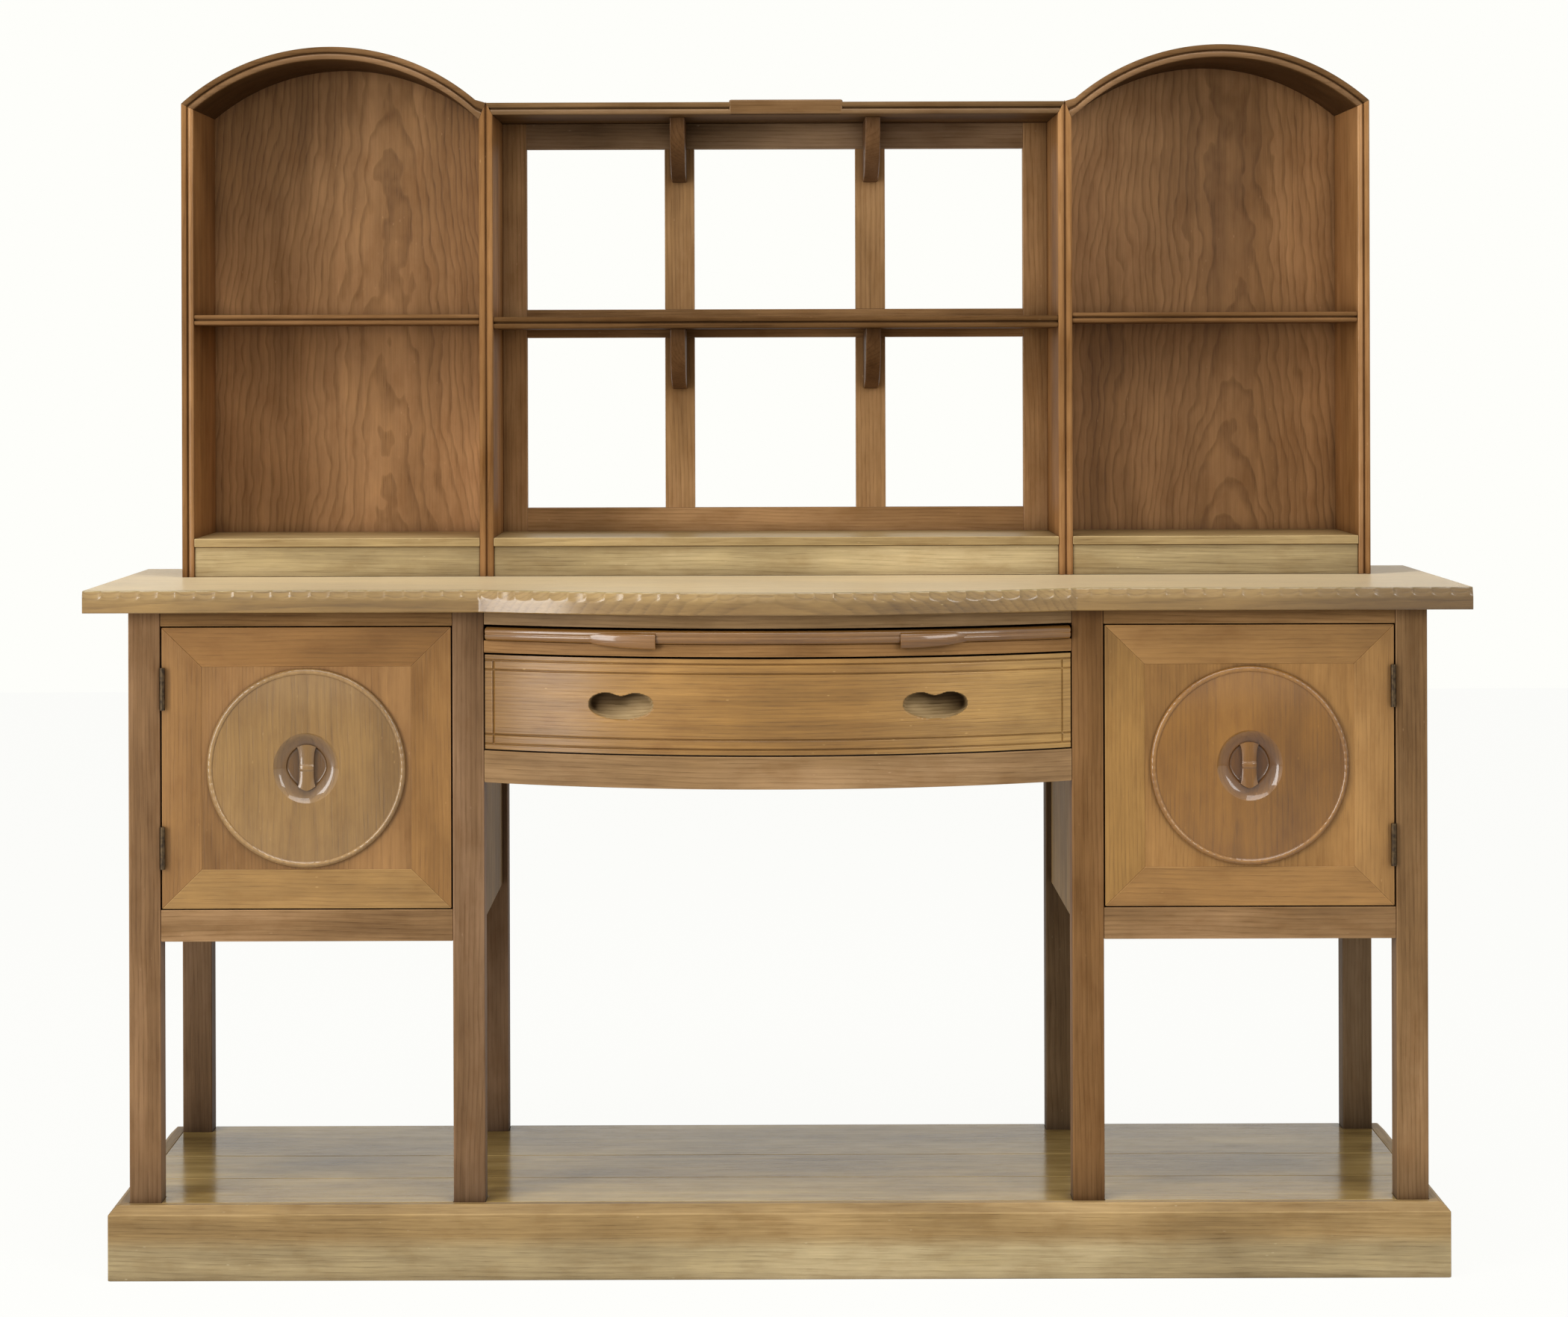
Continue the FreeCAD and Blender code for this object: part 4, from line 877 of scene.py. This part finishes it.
def slide():
    """The pull-out board with its two-reed nose, and its two carved grips."""
    low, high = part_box("slide_board")
    radius = bow_centre - low.y
    middle = (low.z + high.z) / 2
    nose = []
    for step in range(NOSE_STEPS + 1):
        share = -math.cos(math.pi * step / NOSE_STEPS)
        depth = NOSE_ROUND * (1 - math.sqrt(max(0.0, 1 - abs(share) ** NOSE_SQUARENESS)))
        depth += NOSE_GROOVE * math.exp(-(share / NOSE_GROOVE_SHARE) ** 2)
        nose.append((middle + share * (high.z - low.z) / 2, depth))
    rings = []
    for along in evenly(low.x, high.x, ARC_STEP):
        turn = math.asin(along / radius)
        ring = [(along, high.y, high.z), (along, high.y, low.z)]
        for level, depth in nose:
            reach = radius - depth
            ring.append((reach * math.sin(turn), bow_centre - reach * math.cos(turn), level))
        rings.append(ring)
    add_piece("slide_shelf", ["slide_board"], loft(rings), "yzx", "rift", width=FINE_ARRIS,
              bent=True)
    low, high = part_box("slide_grips")
    inner = knee_half * PULL_PLACE_SHARE - SLIDE_GRIP_HALF_LENGTH
    for side, word in SIDES:
        rings = []
        for place in evenly(inner, high.x, SLIDE_GRIP_STEP):
            share = (place - inner) / (high.x - inner)
            swell = max(0.02, 1 - share ** 2.2) ** 0.6
            fall = SLIDE_GRIP_LEAST_SHARE + (1 - SLIDE_GRIP_LEAST_SHARE) * swell
            bottom = middle - (middle - low.z) * fall
            depth = SLIDE_GRIP_THIN + SLIDE_GRIP_SWELL * swell
            turn = math.asin(place / radius)
            ring = []
            for step in range(SLIDE_GRIP_ROUND_STEPS + 1):
                angle = math.pi * step / SLIDE_GRIP_ROUND_STEPS
                level = (high.z + bottom) / 2 - (high.z - bottom) / 2 * math.cos(angle)
                reach = radius + depth * math.sin(angle) ** 0.7 - SLIDE_GRIP_SINK
                ring.append((side * reach * math.sin(turn), bow_centre - reach * math.cos(turn), level))
            rings.append(ring)
        add_piece(f"slide_grip_{word}", ["slide_grips"], loft(rings), "zyx", "rift",
                  width=FINE_ARRIS, bent=True)


def pull_depth(across, up):
    """How deep the finger recess is at a place from its middle, inward and up: a hollow
    like a flat heart, steep above and at its outer end and scooped out inward and down."""
    wide = across / PULL_HALF_WIDTH
    tall = up / PULL_HALF_HEIGHT
    power = PULL_SQUARENESS
    if up > 0:
        tall += PULL_LOBE_SHARE * math.exp(-(wide / PULL_LOBE_SHARE) ** 2)
    else:
        power = PULL_FOOT_SQUARENESS
    share = (abs(wide) ** power + abs(tall) ** power) ** (1 / power)
    if share >= 1:
        return 0.0
    steep = 0.10 if up > 0 else 0.10 + 0.35 * min(1.0, -tall) ** 1.5
    rise = min(1.0, (1 - share) / steep)
    slant = PULL_SLANT * (1 + wide - tall) / 2
    return PULL_DEPTH * rise * (2 - rise) * min(1.0, 1 - slant)


def drawer_front():
    """The bowed front with its incised lines and its carved recesses."""
    low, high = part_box("drawer_front")
    pull = knee_half * PULL_PLACE_SHARE
    end_line = high.x - END_LINE_INSET
    columns = set()
    for first, last, step in (
        (0.0, pull - PULL_REACH, FRONT_STEP),
        (pull - PULL_REACH, pull + PULL_REACH, PULL_STEP),
        (pull + PULL_REACH, end_line - END_LINE_REACH, FRONT_STEP),
        (end_line - END_LINE_REACH, end_line + END_LINE_REACH, LINE_STEP),
        (end_line + END_LINE_REACH, high.x, END_STEP),
    ):
        columns.update(evenly(first, last, step))
    columns = sorted({-place for place in columns} | columns)
    levels = [low.z + LINE_INSET, low.z + LINE_INSET + LINE_PITCH]
    levels += [high.z - LINE_INSET - LINE_PITCH, high.z - LINE_INSET]
    middle = (low.z + high.z) / 2
    rows = set(evenly(low.z, high.z, FRONT_ROW_STEP))
    rows.update(evenly(middle - PULL_REACH_UP, middle + PULL_REACH_UP, PULL_STEP))
    for level in levels:
        rows.update(evenly(level - LINE_WIDTH, level + LINE_WIDTH, LINE_STEP))
    rows = sorted(rows)

    def groove(distance):
        share = abs(distance) / (LINE_WIDTH / 2)
        return LINE_DEPTH * (1 - share) if share < 1 else 0.0

    def front_at(across, up):
        depth = max(groove(up - level) for level in levels)
        if levels[0] < up < levels[-1]:
            depth = max(depth, groove(abs(across) - end_line))
        return bow_at(across) + depth + pull_depth(pull - abs(across), up - middle)

    vertices = []
    for up in rows:
        vertices += [(across, front_at(across, up), up) for across in columns]
    count = len(columns)
    faces = []
    for row in range(len(rows) - 1):
        for column in range(count - 1):
            first = row * count + column
            faces.append((first, first + 1, first + 1 + count, first + count))
    back = len(vertices)
    rear = carcass_front + DRAWER_FRONT_THICK
    inner_half = high.x - DRAWER_SIDE_THICK
    inner = bow_radius - DRAWER_FRONT_THICK

    def back_at(across):
        return min(rear, bow_at(across, inner)) if abs(across) < inner_half else rear

    for up in (low.z, high.z):
        vertices += [(across, back_at(across), up) for across in columns]
    top = (len(rows) - 1) * count
    rim = back + count
    for column in range(count - 1):
        after = column + 1
        faces.append((after, column, back + column, back + after))
        faces.append((top + column, top + after, rim + after, rim + column))
        faces.append((back + after, back + column, rim + column, rim + after))
    left = [row * count for row in range(len(rows))]
    right = [row * count + count - 1 for row in range(len(rows))]
    faces.append((*left, rim, back))
    faces.append((*reversed(right), rim - 1, rim + count - 1))
    # The recesses darken with depth, a painted shade; the left end is darker, a painted shade against
    # the left lamp's reflection
    fades_with_painted_light = [
        ("y", bow_front + PULL_DEPTH * 0.45, bow_front + PULL_DEPTH * 0.9, PULL_PAINTED_SHADE),
        ("x", high.x * 0.85, high.x * 0.25, DRAWER_FADE),
        ("x", low.x * 0.35, low.x * 0.95, DRAWER_END_PAINTED_SHADE),
    ]
    piece = add_piece("drawer_face", ["drawer_front"], (vertices, faces), "zyx", "rift",
                      width=0, bent=True, fades=fades_with_painted_light)
    raw = oak("pull_wood", "inner_oak", low, high, "zyx", "rift", bent=True, fades=fades_with_painted_light[:1],
              tint=TINTS["pull"])
    dress(piece, piece.material_slots[0].material, raw)
    for face in piece.data.polygons:
        spot = face.center
        near = abs(spot.z - middle) < PULL_REACH_UP and abs(abs(spot.x) - pull) < PULL_REACH
        if near and spot.y - bow_at(spot.x) > PULL_RIM:
            face.material_index = 1


# Doors

def door(word):
    """The mitred frame and the carved roundel. The panel is the frame's own."""
    low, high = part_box(f"door_frame_{word}")
    low.x -= DOOR_SWELL
    high.x += DOOR_SWELL
    low.z -= DOOR_STRETCH
    high.z += DOOR_STRETCH
    corners = [(low.x, low.z), (high.x, low.z), (high.x, high.z), (low.x, high.z)]
    inward = [(1, 1), (-1, 1), (-1, -1), (1, -1)]
    for number, part in enumerate(("foot", "right", "head", "left")):
        following = (number + 1) % 4
        outline = [corners[number], corners[following]]
        for index in (following, number):
            x, z = corners[index]
            outline.append((
                x + inward[index][0] * (FRAME_WIDTH + DOOR_SWELL),
                z + inward[index][1] * (FRAME_WIDTH + DOOR_STRETCH),
            ))
        skin = prism(outline, "y", low.y, high.y)
        axes = "zyx" if part in ("foot", "head") else "xyz"
        add_piece(f"door_{part}_{word}", [f"door_frame_{word}"], skin, axes, "rift",
                  width=FRAME_ARRIS)
    roundel(word)


def hollow_edge(turn):
    """How far the rim of the roundel's hollow is from its middle, by direction."""
    return 1 / math.hypot(math.cos(turn) / HOLLOW_HALF_WIDTH, math.sin(turn) / HOLLOW_HALF_HEIGHT)


def well_edge(turn):
    """How far the edge of the well in the hollow is, round above and pointed below."""
    power = 2.0 if math.sin(turn) > 0 else WELL_POINT
    wide = (abs(math.cos(turn)) / WELL_HALF_WIDTH) ** power
    tall = (abs(math.sin(turn)) / WELL_HALF_HEIGHT) ** power
    return (wide + tall) ** (-1 / power)


def bar_depth(across, up):
    """How deep the grip lies below the field: a rounded upright bar with a collar."""
    swell = 1 + 0.5 * (up / WELL_HALF_HEIGHT) ** 4
    share = min(1.0, abs(across) / (GRIP_HALF_WIDTH * swell))
    depth = GRIP_SINK + GRIP_FALL * share ** 2.5
    if abs(up) < COLLAR_HALF:
        depth -= COLLAR_RISE * (1 - (up / COLLAR_HALF) ** 4)
    past = abs(across) - GRIP_HALF_WIDTH * swell
    return depth + max(0.0, past) * 8


def roundel(word):
    """A turned and carved disc: a notched rim, a flat field, and a dished hollow with a
    pointed well that an upright grip crosses."""
    node = f"door_roundel_{word}"
    low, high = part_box(node)
    centre_x = (low.x + high.x) / 2
    centre_z = (low.z + high.z) / 2
    front = low.y
    turns = RIM_NOTCHES * 6
    field = ROUNDEL_RADIUS - RIM_WIDTH

    def well_spot(share, turn):
        """A place in the well, and how deep it is."""
        radius = share * well_edge(turn)
        wall = min(1.0, (1 - share) / WELL_WALL_SHARE)
        well = COVE_DEPTH + (WELL_DEPTH - COVE_DEPTH) * wall * (2 - wall)
        bar = bar_depth(radius * math.cos(turn), radius * math.sin(turn))
        return radius, ROUNDEL_SINK + min(bar, well)

    def cove_spot(share, turn):
        """A place in the cove round the well, from its inner edge outward."""
        radius = well_edge(turn) + share * (hollow_edge(turn) - well_edge(turn))
        depth = COVE_DEPTH * math.cos(math.pi / 2 * share ** 1.3)
        return radius, ROUNDEL_SINK + depth

    def field_spot(share, turn):
        return hollow_edge(turn) + share * (field - hollow_edge(turn)), ROUNDEL_SINK

    def rim_spot(share, turn):
        """A place on the rim: a round bead with shallow notches across it."""
        crown = max(0.0, math.sin(math.pi * share)) ** 0.8
        notch = RIM_NOTCH_SHARE * (1 - abs(math.sin(turn * RIM_NOTCHES / 2)) ** 0.7)
        return field + RIM_WIDTH * share, ROUNDEL_SINK * (1 - crown * (1 - notch))

    def point(radius, level, turn):
        return centre_x + radius * math.cos(turn), level, centre_z + radius * math.sin(turn)

    stations = []
    for spot, count in ((well_spot, 34), (cove_spot, 18), (field_spot, 5), (rim_spot, 14)):
        stations += [(spot, step / count) for step in range(1, count + 1)]
    angles = [2 * math.pi * step / turns for step in range(turns)]
    vertices = [(centre_x, front + well_spot(0.0, 0.0)[1], centre_z)]
    for spot, share in stations:
        for turn in angles:
            radius, depth = spot(share, turn)
            vertices.append(point(radius, front + depth, turn))
    vertices += [point(ROUNDEL_RADIUS, high.y, turn) for turn in angles]
    faces = [(0, 1 + step, 1 + (step + 1) % turns) for step in range(turns)]
    for row in range(len(stations)):
        faces += joined(1 + row * turns, 1 + (row + 1) * turns, turns)
    last = 1 + len(stations) * turns
    faces.append(tuple(range(last, last + turns)))
    floor = front + ROUNDEL_SINK
    # The hollow darkens with depth: painted shade
    fades_with_painted_light = [("y", floor + COVE_DEPTH * 0.1, floor + WELL_DEPTH * 0.8, HOLLOW_PAINTED_SHADE)]
    piece = add_piece(f"roundel_{word}", [node], (vertices, faces), "xyz", "flat", width=0,
                      fades=fades_with_painted_light)
    for face in piece.data.polygons:
        radius = math.hypot(face.center.x - centre_x, face.center.z - centre_z)
        if field + RIM_WIDTH * 0.15 < radius < field + RIM_WIDTH * 0.60:
            face.material_index = 1


# Rack

def rack():
    """Reeded uprights, arches and shelves, all mitred where the reeds meet."""
    top_low, top_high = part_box("rack_top_board")
    rack_top = top_high.z
    rear = top_high.y
    front = top_low.y
    base = low_corner("rack_side_left").z
    half = high_corner("rack_side_right").x
    side_inner = low_corner("rack_side_right").x
    centre_half = low_corner("rack_divider_right").x
    divider_face = high_corner("rack_divider_right").x
    seam = (centre_half + divider_face) / 2
    crown = high_corner("rack_arch_right").z
    rise = crown - rack_top
    bay_centre = (half + divider_face) / 2
    arch_half = (half - divider_face) / 2
    outer_radius = (arch_half ** 2 + rise ** 2) / (2 * rise)
    inner_radius = outer_radius - ARCH_THICK
    arch_centre = crown - outer_radius
    side_spring = arch_centre + math.sqrt(inner_radius ** 2 - (side_inner - bay_centre) ** 2)
    divider_spring = arch_centre + math.sqrt(inner_radius ** 2 - arch_half ** 2)
    top_under = top_low.z
    # The uprights' and the cornice's faces darken a little behind the front: painted shade
    inside = [("y", front + REED_SINK, front + REED_SINK + SHADE_DEPTH, INNER_PAINTED_SHADE)]

    def between(value, start, finish):
        """Where the line from start to finish is at a value of its first number."""
        share = (value - start[0]) / (finish[0] - start[0])
        return start[1] + (finish[1] - start[1]) * share

    for side, word in SIDES:
        def side_top(point):
            return between(abs(point[0]), (side_inner, side_spring), (half, rack_top))

        def divider_top(point):
            place = abs(point[0])
            if place < seam:
                return between(place, (centre_half, top_under), (seam, rack_top))
            return between(place, (seam, rack_top), (divider_face, divider_spring))

        outline = [(side * x, y) for x, y in reeded(side_inner, half, front, rear)]
        skin = prism(outline, "z", base, side_top)
        piece = add_piece(f"rack_end_{word}", [f"rack_side_{word}"], skin, "yxz", "rift",
                          width=FINE_ARRIS, fades=inside)
        rub(piece, len(outline))
        outline = [(side * x, y) for x, y in reeded(centre_half, divider_face, front, rear)]
        outline.insert(1, (side * seam, rear))
        skin = prism(outline, "z", base, divider_top)
        add_piece(f"rack_partition_{word}", [f"rack_divider_{word}"], skin, "yxz", "rift",
                  width=FINE_ARRIS, fades=inside)

        rings = []
        section = reeded(inner_radius, outer_radius, front, rear)
        for step in range(ARCH_STEPS + 1):
            ring = []
            for radius, depth in section:
                share = (radius - inner_radius) / (outer_radius - inner_radius)
                first_x = side_inner + (half - side_inner) * share
                first_turn = math.acos((first_x - bay_centre) / radius)
                last_turn = math.acos(-arch_half / radius)
                turn = first_turn + (last_turn - first_turn) * step / ARCH_STEPS
                x = bay_centre + radius * math.cos(turn)
                z = arch_centre + radius * math.sin(turn)
                if step == ARCH_STEPS:
                    x = divider_face + (seam - divider_face) * share
                    z = divider_spring + (rack_top - divider_spring) * share
                ring.append((side * x, depth, z))
            rings.append(ring)
        # Behind its front the rim darkens: painted shade under the arch
        piece = add_piece(f"rack_rim_{word}", [f"rack_arch_{word}"], loft(rings), "zyx", "rift",
                          width=FINE_ARRIS, fades=[(*inside[0][:3], SOFFIT_PAINTED_SHADE)])
        rub(piece, len(section))

        wall_front = low_corner("rack_back_panels").y
        outline = [(divider_face, base), (side_inner, base), (side_inner, side_spring)]
        first_turn = math.acos((side_inner - bay_centre) / inner_radius)
        last_turn = math.acos(-arch_half / inner_radius)
        for turn in evenly(first_turn, last_turn, ARC_STEP / inner_radius):
            x = bay_centre + inner_radius * math.cos(turn)
            outline.append((x, arch_centre + inner_radius * math.sin(turn)))
        outline = [(side * x, z) for x, z in outline]
        skin = prism(outline, "y", wall_front, rear)
        add_piece(f"rack_board_{word}", ["rack_back_panels"], skin, "xyz", "flat", width=0,
                  ring=0.009, wild=0.08, ripple=0.022, taper=0.05, offset=-0.05, behind=0.08)

    def top_end(side):
        return lambda point: side * between(point[1], (top_under, centre_half), (rack_top, seam))

    outline = [(y, z) for z, y in reeded(top_under, rack_top, front, rear)]
    skin = prism(outline, "x", top_end(LEFT), top_end(RIGHT))
    piece = add_piece("rack_cornice", ["rack_top_board"], skin, "yzx", "rift",
                      width=FINE_ARRIS, fades=inside)
    rub(piece, len(outline))

    low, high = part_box("rack_centre_shelf")
    outline = [(y, z) for z, y in reeded(low.z, high.z, low.y, high.y)]
    skin = prism(outline, "x", low.x, high.x)
    add_piece("rack_middle_shelf", ["rack_centre_shelf"], skin, "yzx", "rift", width=FINE_ARRIS)
    low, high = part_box("rack_side_shelves")
    outline = [(y, z) for z, y in reeded(low.z, high.z, low.y, high.y)]
    for side, word in SIDES:
        start, finish = sorted((side * divider_face, side * side_inner))
        skin = prism(outline, "x", start, finish)
        add_piece(f"rack_shelf_{word}", ["rack_side_shelves"], skin, "yzx", "rift",
                  width=FINE_ARRIS)


def back_frame():
    """The open frame behind the centre bay, each member a board of its own."""
    low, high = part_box("rack_back_frame")
    shelf_top = high_corner("rack_centre_shelf").z
    inner = high.x - STILE_WIDTH
    middle = shelf_top - FRAME_MIDDLE_DROP
    low_top = low.z + FRAME_LOW_RAIL
    middle_low = middle - FRAME_MIDDLE_RAIL / 2
    middle_high = middle + FRAME_MIDDLE_RAIL / 2
    top_low = high.z - FRAME_TOP_RAIL
    members = []
    for side, word in SIDES:
        start, finish = sorted((side * inner, side * high.x))
        members.append((f"rack_stile_{word}", start, finish, low.z, high.z, "xyz"))
    for word, bottom, top in (
        ("low", low.z, low_top), ("middle", middle_low, middle_high), ("top", top_low, high.z),
    ):
        members.append((f"rack_rail_{word}", -inner, inner, bottom, top, "zyx"))
    for word, bottom, top in (("low", low_top, middle_low), ("high", middle_high, top_low)):
        for side, hand in SIDES:
            centre = side * high.x * MUNTIN_PLACE_SHARE
            start = centre - MUNTIN_WIDTH / 2
            finish = start + MUNTIN_WIDTH
            members.append((f"rack_muntin_{word}_{hand}", start, finish, bottom, top, "xyz"))
    for name, start, finish, bottom, top, axes in members:
        skin = slab((start, low.y, bottom), (finish, high.y, top))
        add_piece(name, ["rack_back_frame"], skin, axes, "rift", width=FRAME_ARRIS,
                  tint=TINTS.get(name, FRAME_TINT))


def brackets():
    """Curved brackets under the top board and the middle shelf."""
    frame_low, frame_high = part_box("rack_back_frame")
    shelf_under = low_corner("rack_centre_shelf").z
    wall = frame_low.y
    for word, top in (("high", frame_high.z), ("low", shelf_under)):
        outline = [(wall, top), (wall - BRACKET_REACH, top)]
        for step in range(BRACKET_STEPS + 1):
            turn = math.pi / 2 * step / BRACKET_STEPS
            drop = BRACKET_LIP + (BRACKET_HEIGHT - BRACKET_LIP) * math.sin(turn)
            outline.append((wall - BRACKET_REACH * math.cos(turn), top - drop))
        for side, hand in SIDES:
            centre = side * frame_high.x * MUNTIN_PLACE_SHARE
            start = centre - BRACKET_THICK / 2
            skin = prism(outline, "x", start, start + BRACKET_THICK)
            # Their darker colour is painted shade
            add_piece(f"rack_bracket_{word}_{hand}", ["rack_brackets"], skin, "yxz", "rift",
                      tint=BRACKET_PAINTED_SHADE)


place_camera()
light_stage()
kept_pieces()
worktop()
bowed_board("frieze_board", "frieze_rail")
bowed_board("divider_board", "divider_rail")
bowed_board("apron_board", "apron_rail", thickness=APRON_THICK,
            fades=[("x", knee_half, knee_half * 0.3, APRON_FADE)])
slide()
drawer_front()
for _, hand in SIDES:
    door(hand)
rack()
back_frame()
brackets()

bpy.context.scene.view_settings.view_transform = "Standard"
